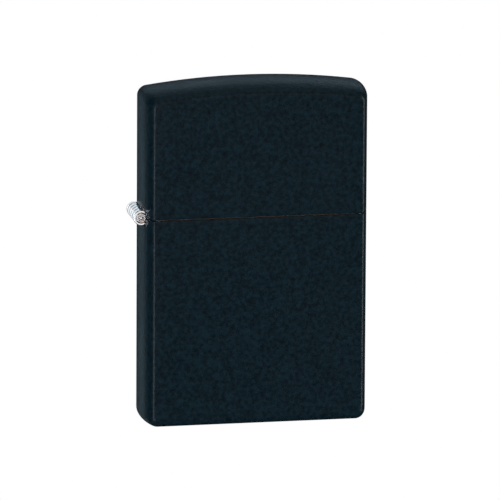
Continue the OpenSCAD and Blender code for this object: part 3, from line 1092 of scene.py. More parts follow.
@dataclass
class Case:
    """The drawn case: a bottom and a lid that meet at the split, both in black powder coat."""

    wall: float = 0.6 * MM
    side_draw: float = 1.6 * MM
    top_draw: float = 1.7 * MM
    base_round: float = 1.2 * MM
    corner: float = 1.5 * MM
    corner_front: float = 1.45 * MM
    shoulder: float = 1.5 * MM
    shoulder_front: float = 1.15 * MM
    inner_round: float = 2.05 * MM
    inner_corner: tuple[float, float] = (0.4 * MM, 0.6 * MM)
    crown_drop: float = 1.42 * MM
    rim: float = 0.07 * MM
    notch_margin: float = 0.15 * MM
    notch_ends: float = 0.1 * MM
    arch_fade: float = 12 * MM
    half_w: float = field(init=False)
    half_d: float = field(init=False)
    height: float = field(init=False)

    def __post_init__(self) -> None:
        """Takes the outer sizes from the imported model."""
        size = extent("case_body")
        self.half_w, self.half_d = size.x / 2, size.y / 2
        self.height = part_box("case_lid")[1].z

    def skins(self, corner: float, front: float, end: Rounding) -> tuple[Skin, Skin]:
        """The outer and inner skins of one half.

        Args:
            corner: The corner radius in the front view at mid depth.
            front: The corner radius at the front face.
            end: How the closed end draws in towards the front and back.

        Returns:
            The outer skin and the inner skin.
        """
        outer = Skin(self.half_w, self.half_d, Rounding(self.side_draw), end, corner, front)
        inner_d = self.half_d - self.wall
        side = Rounding(self.inner_round, 1 - self.inner_round / inner_d)
        inside = Rounding(end.depth, max(end.flat, 1 - 1.4 * end.depth / inner_d), end.power)
        tighter, tightest = self.inner_corner
        inner = Skin(self.half_w - self.wall, inner_d, side, inside, corner - tighter, corner - tightest)
        return outer, inner

    def notch(self, node: str) -> tuple[float, float]:
        """Half the width and the height of the hinge notch in a shell's left wall.

        Args:
            node: The shell's CAD node, whose rim is at the split.

        Returns:
            Half the width and the height, in metres.
        """
        pin = extent("hinge_pin")
        barrel = extent("body_hinge_leaf").x / 2
        low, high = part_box(node)
        seam = middle("hinge_pin").z
        rim = high.z if high.z < self.height - MM else low.z
        return pin.y / 2 + self.notch_ends, barrel + self.notch_margin - abs(seam - rim)

    def bottom(self) -> Object:
        """The case bottom, open at the split.

        Returns:
            The object.
        """
        base = Rounding(self.base_round, 1 - self.base_round / self.half_d)
        outer, inner = self.skins(self.corner, self.corner_front, base)
        shell = DrawnShell("case_bottom", outer, inner, self.wall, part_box("case_body")[1].z, self.rim,
                           [POWDER_BLACK, SATIN_CHROME], lambda p: p, self.notch("case_body"))
        return hang(shell.build(), "case", "case", "case_body")

    def lid(self) -> Object:
        """The lid, with its top arched from side to side.

        Returns:
            The object.
        """
        crown = (self.half_w ** 2 + self.crown_drop ** 2) / (2 * self.crown_drop)

        def arched(p: Point) -> Point:
            """Turns a point of the level lid into one under the arched top.

            Args:
                p: The point, with its depth below the level top as Z.

            Returns:
                The point in the model's frame.
            """
            share = min(max(p[2] / self.arch_fade, 0.0), 1.0)
            hold = 1 - share * share * (3 - 2 * share)
            drop = crown - math.sqrt(crown ** 2 - p[0] ** 2)
            return (p[0], p[1], self.height - p[2] - drop * hold)

        outer, inner = self.skins(self.shoulder, self.shoulder_front, Rounding(self.top_draw))
        depth = self.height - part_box("case_lid")[0].z
        shell = DrawnShell("case_top", outer, inner, self.wall, depth, self.rim,
                           [POWDER_BLACK, SATIN_CHROME], arched, self.notch("case_lid"))
        return hang(shell.build(), "lid", "case_lid", "case_lid")


# ---- Hinge, insert and what it holds ----

@dataclass
class Hinge:
    """The five-knuckle hinge: two leaves rolled round a pin with upset ends."""

    leaf: float = 0.4 * MM
    length: float = 7.0 * MM
    gap: float = 0.08 * MM
    knuckles: int = 5
    lip: float = 0.1 * MM
    tab: float = 1.4 * MM
    plate_w: float = 8.0 * MM
    tongue_w: float = 3.0 * MM
    tongue_t: float = 0.35 * MM
    tongue_rise: float = 2.25 * MM
    tongue_corner: float = 0.3 * MM
    roll_end: float = 50.0
    reach_down: float = 8.5 * MM
    plate_corner: float = 0.8 * MM
    weld_side: float = 2.4 * MM
    weld_rise: float = 3.4 * MM
    first_weld: float = 2.2 * MM
    weld_profile: tuple[tuple[float, float], ...] = (
        (0.0, 0.02), (0.3, 0.025), (0.5, 0.05), (0.62, 0.04), (0.7, 0.0), (0.7, -0.05), (0.0, -0.05))
    pin_end: tuple[tuple[float, float], ...] = (
        (1.0, 0.3), (0.98, 0.2), (0.93, 0.14), (0.86, 0.12), (0.76, 0.12), (0.7, 0.14), (0.66, 0.2),
        (0.64, 0.42), (0.48, 0.45), (0.46, 0.3), (0.42, 0.16), (0.34, 0.07), (0.22, 0.02),
        (0.1, 0.002), (0.0, 0.0))
    centre: Vector = field(default_factory=lambda: middle("hinge_pin"))
    barrel: float = field(init=False)

    def __post_init__(self) -> None:
        """Takes the barrel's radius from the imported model."""
        self.barrel = extent("body_hinge_leaf").z - self.reach_down

    def strip(self, way: int, pinch: float) -> Outline:
        """The section of a rolled knuckle and the tab that joins it to its leaf.

        Args:
            way: 1 for a leaf that goes up, -1 for one that goes down.
            pinch: How far the section is drawn in, for its rounded ends.

        Returns:
            The outline (X, Z), from the tab's outer face round the roll and back inside.
        """
        outer, inner = self.barrel - pinch, self.barrel - self.leaf + pinch
        end = 360 - self.roll_end - math.degrees(pinch / self.barrel)
        round_out = arc(0, 0, outer, 0, -end, 44)
        round_in = arc(0, 0, inner, -end, 0, 44)
        tip = self.tab + 0.05 * MM
        outline = [(outer, tip), *round_out, *round_in, (inner, tip)]
        return [(self.centre.x + x, self.centre.z + way * z) for x, z in outline]

    def knuckle(self, number: int, way: int) -> Object:
        """One rolled knuckle.

        Args:
            number: Its place along the barrel, from 0 at the front.
            way: 1 for a leaf that goes up, -1 for one that goes down.

        Returns:
            The object.
        """
        long = (self.length - (self.knuckles - 1) * self.gap) / self.knuckles
        start = -self.length / 2 + number * (long + self.gap)
        ends = [(start + self.lip * (1 - math.cos(a)), self.lip * (1 - math.sin(a)))
                for a in quarter(3)]
        stations = ends + [(2 * start + long - y, p) for y, p in ends[::-1]]
        points = [(x, y, z) for y, pinch in stations for x, z in self.strip(way, pinch)]
        n = len(points) // len(stations)
        faces = bands(len(stations), n)
        for base in (0, (len(stations) - 1) * n):
            for j in range(n // 2 - 1):
                faces.append((base + j, base + j + 1, base + n - j - 2, base + n - j - 1))
        return make_mesh("knuckle", points, faces, [BRIGHT_CHROME], sharp=50)

    def welds(self, face_x: float, z: float, way: int) -> list[Object]:
        """Four spot welds pressed into a leaf.

        Args:
            face_x: The leaf's inner face.
            z: The height of the lower pair.
            way: The direction of the upper pair, 1 or -1.

        Returns:
            The objects.
        """
        profile = [(radius * MM, rise * MM) for radius, rise in self.weld_profile]
        return [turned("weld", profile, Axis.X, (face_x, y, z + rise), BRIGHT_CHROME, 28)
                for y in (-self.weld_side, self.weld_side) for rise in (0.0, self.weld_rise * way)]

    def leaf_piece(self, name: str, node: str, first: int, way: int) -> Object:
        """One whole leaf: its plate, its knuckles and its spot welds.

        Args:
            name: The piece's name.
            node: The CAD node that it stands for.
            first: The number of its first knuckle.
            way: 1 for a leaf that goes up, -1 for one that goes down.

        Returns:
            The object.
        """
        low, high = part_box(node)
        far = high.z if way > 0 else low.z
        near = self.centre.z + way * self.tab
        half, r = self.plate_w / 2, self.plate_corner
        z0, z1 = sorted((near, far))
        corners = arc(half - r, z1 - r, r, 0, 90, 6) + arc(r - half, z1 - r, r, 90, 180, 6)
        corners = corners + [(-half, z0), (half, z0)]
        if way < 0:
            corners = [(half, z1), (-half, z1)] + arc(r - half, z0 + r, r, 180, 270, 6)
            corners += arc(half - r, z0 + r, r, 270, 360, 6)
        level = self.centre.x + self.barrel - self.leaf / 2
        parts = [stamped("plate", corners, [], Axis.X, level, self.leaf, 0.05 * MM, BRIGHT_CHROME)]
        parts += [self.knuckle(i, way) for i in range(first, self.knuckles, 2)]
        parts += self.welds(level + self.leaf / 2, near + way * self.first_weld, way)
        if way > 0:
            end, t, c = high.x, self.tongue_w / 2, self.tongue_corner
            outline = [(level, -t), (end - c, -t), (end, c - t), (end, t - c), (end - c, t), (level, t)]
            rise = self.centre.z + self.tongue_rise + self.tongue_t / 2
            parts.append(stamped("tongue", outline, [], Axis.Z, rise, self.tongue_t, 0.06 * MM,
                                 BRIGHT_CHROME))
        body = "lid" if way > 0 else "case"
        return hang(joined(name, parts), body, "hinge", node)

    def pin(self) -> Object:
        """The pin, with a bevelled ring, a hollow and a small dome at each end."""
        reach, r = extent("hinge_pin").y / 2, extent("hinge_pin").x / 2
        end = [(share * r, reach - drop * MM) for share, drop in self.pin_end]
        piece = turned("hinge_pin_upset", mirrored(end), Axis.Y, tuple(self.centre), BRIGHT_CHROME, 48, 60)
        return hang(piece, "case", "pin", "hinge_pin")

    def build(self) -> None:
        """Builds both leaves and the pin."""
        self.leaf_piece("lower_leaf", "body_hinge_leaf", 0, -1)
        self.leaf_piece("upper_leaf", "lid_hinge_leaf", 1, 1)
        self.pin()


@dataclass
class Insert:
    """The lift-out insert: a drawn tank with a folded windscreen on its deck."""

    sheet: float = 0.4 * MM
    edge_r: float = 1.9 * MM
    shoulder_r: float = 0.9 * MM
    deck_edge: float = 0.45 * MM
    rim: float = 0.1 * MM
    screen_d: float = 7.6 * MM
    screen_h: float = 15.2 * MM
    screen_r: float = 1.2 * MM
    cam_ear: float = 2.3 * MM
    wheel_ear: float = 2.6 * MM
    hole_r: float = 1.15 * MM
    hole_step: tuple[float, float] = (3.4 * MM, 3.6 * MM)
    hole_drop: float = 3.2 * MM
    ear_r: float = 1.1 * MM
    shoulder_step: tuple[float, float] = (2.4 * MM, 3.2 * MM)
    spark: tuple[float, float, float] = (4.4 * MM, 3.0 * MM, 8.5 * MM)
    bevel: float = 0.06 * MM
    flat_area: float = 2e-6
    wick_hole_r: float = 1.75 * MM
    cam_shank: float = 0.7 * MM
    wheel_shank: float = 0.8 * MM
    cam: Vector = field(default_factory=lambda: middle("cam_rivet"))
    wheel: Vector = field(default_factory=lambda: middle("wheel_rivet"))

    def __post_init__(self) -> None:
        """Works out the deck and the windscreen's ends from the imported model."""
        self.low, self.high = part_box("insert_shell")
        self.deck = self.high.z - self.screen_h
        self.x0, self.x1 = chamber_ends()

    def tank(self) -> Object:
        """The tank, open at the bottom, with holes in its deck for the wick and the tube.

        Returns:
            The object.
        """
        half_w, half_d = (self.high.x - self.low.x) / 2, (self.high.y - self.low.y) / 2
        cx, t = (self.high.x + self.low.x) / 2, self.sheet
        outer = Skin(half_w, half_d, Rounding(self.edge_r, 1 - self.edge_r / half_d),
                     Rounding(self.deck_edge, 1 - self.deck_edge / half_d), self.shoulder_r,
                     self.shoulder_r, cx)
        inner_d, inner_r, inner_e = half_d - t, self.edge_r - t, self.deck_edge * 0.5
        inner = Skin(half_w - t, inner_d, Rounding(inner_r, 1 - inner_r / inner_d),
                     Rounding(inner_e, 1 - inner_e / inner_d), self.shoulder_r - t, self.shoulder_r - t, cx)
        shell = DrawnShell("tank_blank", outer, inner, t, self.deck - self.low.z, self.rim,
                           [BRUSHED_STEEL, BRUSHED_STEEL], lambda p: (p[0], p[1], self.deck - p[2]), steps=10)
        piece = shell.build()
        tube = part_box("flint_tube")
        holes = [((self.x0 + self.x1) / 2, self.wick_hole_r),
                 ((tube[0].x + tube[1].x) / 2, (tube[1].x - tube[0].x) / 2)]
        for k, (x, r) in enumerate(holes):
            profile = [(0, -MM), (r, -MM), (r, MM), (0, MM)]
            cut(piece, turned(f"drill_{k}", profile, Axis.Z, (x, 0, self.deck), BRUSHED_STEEL, 48))
        tank = flat_faces(tidy_mesh(baked(piece, "insert_tank"), 32), None, self.flat_area)
        return hang(tank, "case", "insert", "insert_shell")

    def screen_outline(self) -> Outline:
        """The outline (X, Z) that both plates of the windscreen share, counter-clockwise.

        Returns:
            The points (X, Z).
        """
        cam, wheel, r = self.cam, self.wheel, self.ear_r
        left, right = self.x0 + self.screen_r, self.x1 - self.screen_r
        cam_top, wheel_top = cam.z + self.cam_ear, wheel.z + self.wheel_ear
        return [(cam.x - self.cam_ear, self.deck), (wheel.x + self.wheel_ear, self.deck),
                *arc(wheel.x, wheel.z, self.wheel_ear, 0, 90, 16),
                *arc(self.x1 + r, wheel_top + r, r, 270, 180, 8),
                (self.x1, wheel_top + self.shoulder_step[0]),
                (right, wheel_top + self.shoulder_step[1]), (right, self.high.z), (left, self.high.z),
                (left, cam_top + self.shoulder_step[1]),
                (self.x0, cam_top + self.shoulder_step[0]),
                *arc(self.x0 - r, cam_top + r, r, 0, -90, 8),
                *arc(cam.x, cam.z, self.cam_ear, 90, 180, 16)]

    def air_holes(self) -> list[Outline]:
        """The outlines of the eight air holes in one plate: three, two and three.

        Returns:
            The outlines, each as points (X, Z).
        """
        cx, top = (self.x0 + self.x1) / 2, self.high.z - self.hole_drop
        found = []
        for column in (-1, 0, 1):
            for row in range(3 if column else 2):
                drop = (row + (0 if column else 0.5)) * self.hole_step[1]
                found.append(circle(cx + column * self.hole_step[0], top - drop, self.hole_r, 36))
        return found

    def end_wall(self, name: str, x: float, way: int, window: bool) -> Object:
        """One folded end of the windscreen, with or without the window that lets sparks in.

        Args:
            name: The object's name.
            x: The place of its outer face.
            way: 1 where the flame chamber is towards +X of it, -1 where it is towards -X.
            window: Whether it has the window.

        Returns:
            The object.
        """
        d, r, t, e = self.screen_d / 2, self.screen_r, self.sheet, self.bevel

        def path(radius: float, face: float) -> Outline:
            """The wall's line at a distance inside its outer face.

            Args:
                radius: The radius of its two bends.
                face: The distance inside the outer face.

            Returns:
                The points (X, Y).
            """
            half = self.spark[0] / 2
            turn = [(x + way * (r - radius * math.sin(a)), radius * math.cos(a) + d - r)
                    for a in quarter(6)]
            side = turn[:-1] + [(x + way * face, d - r), (x + way * face, half)]
            return side + [(px, -py) for px, py in side[::-1]]

        foot = self.deck - 0.05 * MM
        low, high = self.deck + self.spark[1], self.deck + self.spark[2]
        top = self.high.z
        rows = [(0.0, foot), (0.0, low), (0.0, high), (0.0, top - e), (e * 0.3, top - e * 0.3), (e, top),
                (t - e, top), (t - e * 0.3, top - e * 0.3), (t, top - e), (t, high), (t, low), (t, foot)]
        points = [(px, py, z) for deep, z in rows for px, py in path(r - deep, deep)]
        n = len(points) // len(rows)
        gap = n // 2 - 1
        outer_low, inner_high = 1, len(rows) - 3
        faces: Faces = []
        for k in range(len(rows)):
            m = (k + 1) % len(rows)
            for j in range(n - 1):
                if window and j == gap and k in (outer_low, inner_high):
                    continue
                faces.append((k * n + j, k * n + j + 1, m * n + j + 1, m * n + j))
        if window:
            sill, head = (outer_low * n, (inner_high + 1) * n), ((outer_low + 1) * n, inner_high * n)
            faces += [(a + gap, a + gap + 1, b + gap + 1, b + gap) for a, b in (sill, head)]
            faces += [(sill[0] + i, head[0] + i, head[1] + i, sill[1] + i) for i in (gap, gap + 1)]
        faces += [tuple(k * n + j for k in range(len(rows))) for j in (0, n - 1)]
        return make_mesh(name, points, faces, [BRUSHED_STEEL], sharp=32)

    def windscreen(self) -> Object:
        """The windscreen: two pierced plates with ears and two folded ends.

        Returns:
            The object.
        """
        parts = []
        for side in (-1, 1):
            level = side * (self.screen_d - self.sheet) / 2
            parts.append(stamped("plate", self.screen_outline(), self.air_holes(), Axis.Y, level,
                                 self.sheet, self.bevel, BRUSHED_STEEL))
        parts.append(self.end_wall("left_wall", self.x0, 1, False))
        parts.append(self.end_wall("right_wall", self.x1, -1, True))
        return hang(joined("windscreen", parts), "case", "insert", "insert_shell")

    def rivet(self, name: str, node: str, shank: float) -> Object:
        """A rivet across the windscreen with a low dome on each end.

        Args:
            name: The piece's name.
            node: The CAD node.
            shank: The shank's radius.

        Returns:
            The object.
        """
        head, reach, face = extent(node).x / 2, extent(node).y / 2, self.screen_d / 2
        thick = reach - face
        end = [(shank, face - 0.02 * MM), (head * 0.96, face), (head, face + thick * 0.25)]
        end += [(head * math.cos(a), face + thick * (0.25 + 0.75 * math.sin(a)))
                for a in quarter(8)[1:]]
        piece = turned(name, mirrored(end), Axis.Y, tuple(middle(node)), RIVET_STEEL, 56, sharp=50)
        return hang(piece, "case", "rivets", node)

    def build(self) -> None:
        """Builds the tank, the windscreen and the two long rivets."""
        self.tank()
        self.windscreen()
        self.rivet("cam_rivet_domed", "cam_rivet", self.cam_shank)
        self.rivet("wheel_rivet_domed", "wheel_rivet", self.wheel_shank)


@dataclass
class CamSet:
    """The cam that snaps the lid, and the leaf spring under it with its rivet."""

    hub: float = 2.6 * MM
    flat: float = 2.35 * MM
    reach: float = 8.4 * MM
    root: float = 1.1 * MM
    tip: float = 0.45 * MM
    thickness: float = 2.4 * MM
    closed: float = 119.0
    sleeve: float = 1.3 * MM
    bore: float = 0.73 * MM
    edge: float = 0.22 * MM
    strip: float = 0.2 * MM
    strip_w: float = 3.0 * MM
    rivet_in: float = 1.6 * MM
    nose_side: tuple[tuple[float, float], ...] = ((3.6 * MM, 0.98 * MM), (4.6 * MM, 0.86 * MM))
    pivot: Vector = field(default_factory=lambda: middle("cam_rivet"))

    def outline(self) -> Outline:
        """The cam's outline: a round hub with two flats, and a tapered nose.

        Returns:
            The points (X, Z).
        """
        turn = math.radians(self.closed)
        flat = math.degrees(math.acos(self.flat / self.hub))
        spread = math.degrees(math.asin(self.root / self.hub)) + 4
        hub = arc(0, 0, self.hub, self.closed + spread, 180 - flat, 4)
        hub += arc(0, 0, self.hub, 180 + flat, 270 - flat, 8)
        hub += arc(0, 0, self.hub, 270 + flat, 360 + self.closed - spread, 26)
        cx, cz = self.reach * math.cos(turn), self.reach * math.sin(turn)
        nose = arc(cx, cz, self.tip, self.closed - 90, self.closed + 90, 10)
        near, far = [[(u * math.cos(turn) - v * way * math.sin(turn),
                       u * math.sin(turn) + v * way * math.cos(turn)) for u, v in self.nose_side]
                     for way in (-1, 1)]
        return [(self.pivot.x + x, self.pivot.z + z) for x, z in hub + near + nose + far[::-1]]

    def cam(self) -> Object:
        """The cam, a thick stamping with a sleeve on each side.

        Returns:
            The object.
        """
        hole = circle(self.pivot.x, self.pivot.z, self.bore, 32)
        plate = stamped("cam_plate", self.outline(), [hole], Axis.Y, 0.0, self.thickness, self.edge,
                        STAMPED_STEEL)
        half, r = extent("cam").y / 2, self.sleeve
        parts = [plate]
        for way in (-1, 1):
            inner = self.thickness / 2 - 0.1 * MM
            profile = [(self.bore, way * inner), (r, way * inner), (r, way * (half - 0.08 * MM)),
                       (r - 0.08 * MM, way * half), (self.bore, way * half), (self.bore, way * inner)]
            parts.append(turned("sleeve", profile, Axis.Y, tuple(self.pivot), STAMPED_STEEL, 40))
        return hang(joined("snap_cam", parts), "cam", "cam_steel", "cam")

    def spring(self) -> Object:
        """The leaf spring: a strip that bends up from its rivet to lie under the hub.

        Returns:
            The object.
        """
        low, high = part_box("cam_spring")
        half = self.strip / 2
        rivet, bearing = high.x - self.rivet_in, 0.6 * MM
        line = curved([(high.x, low.z + half), (rivet, low.z + half), (rivet - 1.1 * MM, low.z + 1.6 * half),
                       (self.pivot.x + bearing, high.z - 1.4 * half),
                       (self.pivot.x - bearing, high.z - half), (low.x, high.z - half)], 6)
        upper, lower = [], []
        for k, (x, z) in enumerate(line):
            a, b = line[max(k - 1, 0)], line[min(k + 1, len(line) - 1)]
            length = math.hypot(b[0] - a[0], b[1] - a[1])
            nx, nz = -(b[1] - a[1]) / length * half, (b[0] - a[0]) / length * half
            upper.append((x + nx, z + nz))
            lower.append((x - nx, z - nz))
        strip = stamped("cam_leaf_spring", upper + lower[::-1], [], Axis.Y, 0.0, self.strip_w, 0.04 * MM,
                        SPRING_STEEL)
        return hang(strip, "case", "spring_steel", "cam_spring")

    def rivet(self) -> Object:
        """The small domed rivet that holds the leaf spring.

        Returns:
            The object.
        """
        node = "cam_spring_rivet"
        low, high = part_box(node)
        head, top, deck = extent(node).x / 2, high.z - low.z, self.strip
        profile = [(0.0, 0.0), (0.4 * MM, 0.0), (0.42 * MM, deck), (head * 0.97, deck)]
        profile += [(head * math.cos(a), deck + (top - deck) * math.sin(a)) for a in quarter(8)]
        centre = (middle(node).x, middle(node).y, low.z)
        piece = turned("spring_rivet_domed", profile, Axis.Z, centre, RIVET_STEEL, 36, 50)
        return hang(piece, "case", "rivets", node)

    def build(self) -> None:
        """Builds the cam, its spring and the spring's rivet."""
        self.cam()
        self.spring()
        self.rivet()


@dataclass
class Striker:
    """The flint wheel, with crossed rows of teeth cut round it."""

    teeth: int = 48
    pitch_r: float = 3.4 * MM
    rows: int = 7
    depth: float = 0.3 * MM
    width: float = 6.2 * MM
    hub: float = 1.6 * MM
    bore: float = 0.83 * MM
    chamfer: float = 0.3 * MM
    dish: float = 0.35 * MM

    def core(self, centre: Vector, radius: float) -> Object:
        """The wheel's turned body, without its teeth.

        Args:
            centre: The wheel's centre.
            radius: The radius over the teeth.

        Returns:
            The object.
        """
        root, half, end = radius - self.depth * 0.9, self.width / 2, extent("flint_wheel").y / 2
        face = half - self.dish
        side = [(self.hub, end), (self.hub, half - 0.25 * MM), (self.hub + self.dish, face),
                (root - 0.9 * MM, face), (root - 0.7 * MM, half), (root - self.chamfer, half),
                (root, half - self.chamfer)]
        profile = [(self.bore, -end)] + [(x, -y) for x, y in side] + side[::-1]
        profile += [(self.bore, end), (self.bore, -end)]
        return turned("wheel_core", profile, Axis.Y, tuple(centre), HARDENED_STEEL, 96, 30)

    def tooth(self) -> Object:
        """One small tooth: a wedge with a steep striking face.

        Returns:
            The object.
        """
        pitch = TURN * self.pitch_r / self.teeth
        long, tall = self.width / self.rows * 0.47, self.depth
        a, b = -0.08 * MM, pitch * 0.5
        base = [(a, -long, -b), (a, long, -b), (a, long, b), (a, -long, b)]
        crest = [(tall * 0.8, -long * 0.62, b * 0.25), (tall * 0.8, long * 0.62, b * 0.25)]
        faces = [(0, 1, 2, 3), (0, 4, 5, 1), (3, 2, 5, 4), (0, 3, 4), (1, 5, 2)]
        return make_mesh("wheel_tooth", base + crest, faces, [HARDENED_STEEL], sharp=20)

    def build(self) -> Object:
        """Builds the wheel: a turned core with the teeth set round it in staggered rows.

        Returns:
            The object.
        """
        centre, radius = middle("wheel_rivet"), extent("flint_wheel").z / 2
        root = radius - self.depth
        tooth = self.tooth()
        inputs = {"Teeth": ("NodeSocketInt", self.teeth), "Rows": ("NodeSocketInt", self.rows),
                  "Root radius": ("NodeSocketFloat", root),
                  "Width": ("NodeSocketFloat", self.width - self.chamfer),
                  "Tooth": ("NodeSocketObject", tooth), "Centre": ("NodeSocketVector", tuple(centre)),
                  "Material": ("NodeSocketMaterial", HARDENED_STEEL.material())}
        tree = growth_tree("wheel_teeth", inputs)
        start = tree.nodes["Group Input"].outputs

        def sum_of(operation: str, first: object, second: object = 0.0) -> Socket:
            """The result of one Math node.

            Args:
                operation: The node's operation.
                first: Its first input, a number or a socket.
                second: Its second input.

            Returns:
                The node's output.
            """
            node = wire(tree, "ShaderNodeMath", {"operation": operation}, in0=first, in1=second)
            return node.outputs[0]

        count = sum_of("MULTIPLY", start["Teeth"], start["Rows"])
        line = wire(tree, "GeometryNodeMeshLine", Count=count)
        number = wire(tree, "GeometryNodeInputIndex").outputs[0]
        row = sum_of("FLOOR", sum_of("DIVIDE", number, start["Teeth"]))
        place = sum_of("ADD", number, sum_of("MULTIPLY", row, 0.5))
        angle = sum_of("MULTIPLY", sum_of("DIVIDE", place, start["Teeth"]), TURN)
        share = sum_of("SUBTRACT", sum_of("DIVIDE", sum_of("ADD", row, 0.5), start["Rows"]), 0.5)
        spot = wire(tree, "ShaderNodeCombineXYZ",
                    X=sum_of("MULTIPLY", sum_of("COSINE", angle), start["Root radius"]),
                    Y=sum_of("MULTIPLY", share, start["Width"]),
                    Z=sum_of("MULTIPLY", sum_of("SINE", angle), start["Root radius"]))
        spin = wire(tree, "ShaderNodeCombineXYZ", Y=sum_of("MULTIPLY", angle, -1.0))
        put = wire(tree, "GeometryNodeSetPosition", Geometry=line.outputs[0], Position=spot.outputs[0])
        source = wire(tree, "GeometryNodeObjectInfo", Object=start["Tooth"])
        many = wire(tree, "GeometryNodeInstanceOnPoints", Points=put.outputs[0],
                    Instance=source.outputs["Geometry"], Rotation=spin.outputs[0])
        there = wire(tree, "GeometryNodeTransform", Geometry=many.outputs[0], Translation=start["Centre"])
        ring = grown("wheel_tooth_rows", tree, there.outputs[0], inputs)
        bpy.data.objects.remove(tooth)
        wheel = joined("cross_cut_wheel", [self.core(centre, radius), ring])
        return hang(wheel, "flint_wheel", "wheel_steel", "flint_wheel")


@dataclass
class FlintFeed:
    """The flint, its spring and brass tip, and the tube and screw that hold them."""

    edge: float = 0.12 * MM
    coil_turns: float = 17.0
    wire_r: float = 0.17 * MM
    tip_head: float = 1.1 * MM
    tip_stem: float = 0.55 * MM
    spring_rest: float = 2.5 * MM
    screw_len: float = 6.0 * MM
    head_t: float = 1.1 * MM
    pitch: float = 0.6 * MM
    thread_r: float = 0.15 * MM
    thread_end: float = 0.7 * MM
    tube_gap: float = 0.08 * MM
    slot_half: float = 0.35 * MM
    slot_depth: float = 0.5 * MM

    def lathe(self, name: str, node: str, profile: Outline, finish: Finish, steps: int) -> Object:
        """Turns a profile on the axis of a CAD node, from the node's bottom up.

        Args:
            name: The piece's name.
            node: The CAD node that gives the axis and the bottom.
            profile: Points (radius, height over the bottom).
            finish: The finish.
            steps: How many faces go round.

        Returns:
            The object.
        """
        low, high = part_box(node)
        return turned(name, profile, Axis.Z, ((low.x + high.x) / 2, 0, low.z), finish, steps)

    def rod(self) -> Object:
        """The flint: a pressed rod with worn edges.

        Returns:
            The object.
        """
        size, e = extent("flint"), self.edge
        r, tall = size.x / 2, size.z
        profile = [(0, 0), (r - e, 0), (r, e), (r, tall - e), (r - e, tall), (0, tall)]
        piece = self.lathe("flint_rod", "flint", profile, FLINT_ALLOY, 48)
        return hang(piece, "flint", "flint_alloy", "flint")

    def tip(self) -> Object:
        """The brass tip between the flint and the spring.

        Returns:
            The object.
        """
        size, e, stem = extent("flint_spring_tip"), self.edge, self.tip_stem
        r, tall, under = size.x / 2, size.z, size.z - self.tip_head
        profile = [(0, 0), (stem * 0.6, 0), (stem, e * 2), (stem, under), (r - e, under), (r, under + e),
                   (r, tall - e), (r - e, tall), (0, tall)]
        piece = self.lathe("spring_tip_turned", "flint_spring_tip", profile, BRASS, 48)
        return hang(piece, "flint", "screw_brass", "flint_spring_tip")

    def spring(self) -> Object:
        """The coil spring, built at one length; it does not shorten with the flint.

        Returns:
            The object.
        """
        low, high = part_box("flint_spring")
        x = (low.x + high.x) / 2
        outer = (high.x - low.x) / 2 - self.wire_r
        rise = high.z - low.z - 2 * self.wire_r
        piece = coil("flint_coil_spring", (x, 0.0, low.z + self.wire_r), outer, rise, self.coil_turns,
                     self.wire_r, 8, SPRING_STEEL)
        hang(piece, "case", "spring_steel", "flint_spring")
        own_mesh(piece)
        return piece

    def tube(self) -> Object:
        """The brass tube, with its edges broken inside and out.

        Returns:
            The object.
        """
        size, e = extent("flint_tube"), self.edge
        r, bore, tall = size.x / 2, extent("flint").x / 2 + self.tube_gap, size.z
        profile = [(bore + e, 0), (r - e, 0), (r, e), (r, tall - e), (r - e, tall), (bore + e, tall),
                   (bore, tall - e), (bore, e), (bore + e, 0)]
        piece = self.lathe("brass_tube", "flint_tube", profile, BRASS, 64)
        return hang(piece, "case", "tube_brass", "flint_tube")

    def screw(self) -> Object:
        """The flint screw: a slotted head, a threaded shank and a thin guide for the spring.

        Returns:
            The object.
        """
        low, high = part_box("flint_screw")
        head, tall, t = (high.x - low.x) / 2, high.z - low.z, self.head_t
        shank = extent("flint").x / 2 + 0.12 * MM
        top = t + self.screw_len
        profile = [(0, 0), (head - 0.2 * MM, 0), (head, 0.2 * MM), (head, t - 0.1 * MM), (head - 0.1 * MM, t),
                   (shank, t), (shank, top - 0.2 * MM), (shank - 0.3 * MM, top), (self.tip_stem, top),
                   (self.tip_stem, tall - 0.2 * MM), (self.tip_stem * 0.6, tall), (0, tall)]
        x = (low.x + high.x) / 2
        body = self.lathe("screw_body", "flint_screw", profile, BRASS, 64)
        half, wide = self.slot_half, head + MM
        box = [(x + sx * wide, sy * half, low.z + z) for z in (-MM, self.slot_depth) for sx, sy in
               ((-1, -1), (1, -1), (1, 1), (-1, 1))]
        slot = make_mesh("slot_cutter", box, [(0, 1, 2, 3), (4, 5, 6, 7), (0, 1, 5, 4), (1, 2, 6, 5),
                                             (2, 3, 7, 6), (3, 0, 4, 7)], [BRASS])
        cut(body, slot)
        rise = self.screw_len - self.thread_end
        thread = coil("screw_thread", (x, 0.0, low.z + t + 0.3 * MM), shank, rise, rise / self.pitch,
                      self.thread_r, 4, BRASS)
        return hang(joined("slotted_screw", [tidy_mesh(body), thread]), "case", "screw_brass", "flint_screw")

    def build(self) -> None:
        """Builds the whole feed."""
        self.rod()
        self.tip()
        self.spring()
        self.tube()
        self.screw()


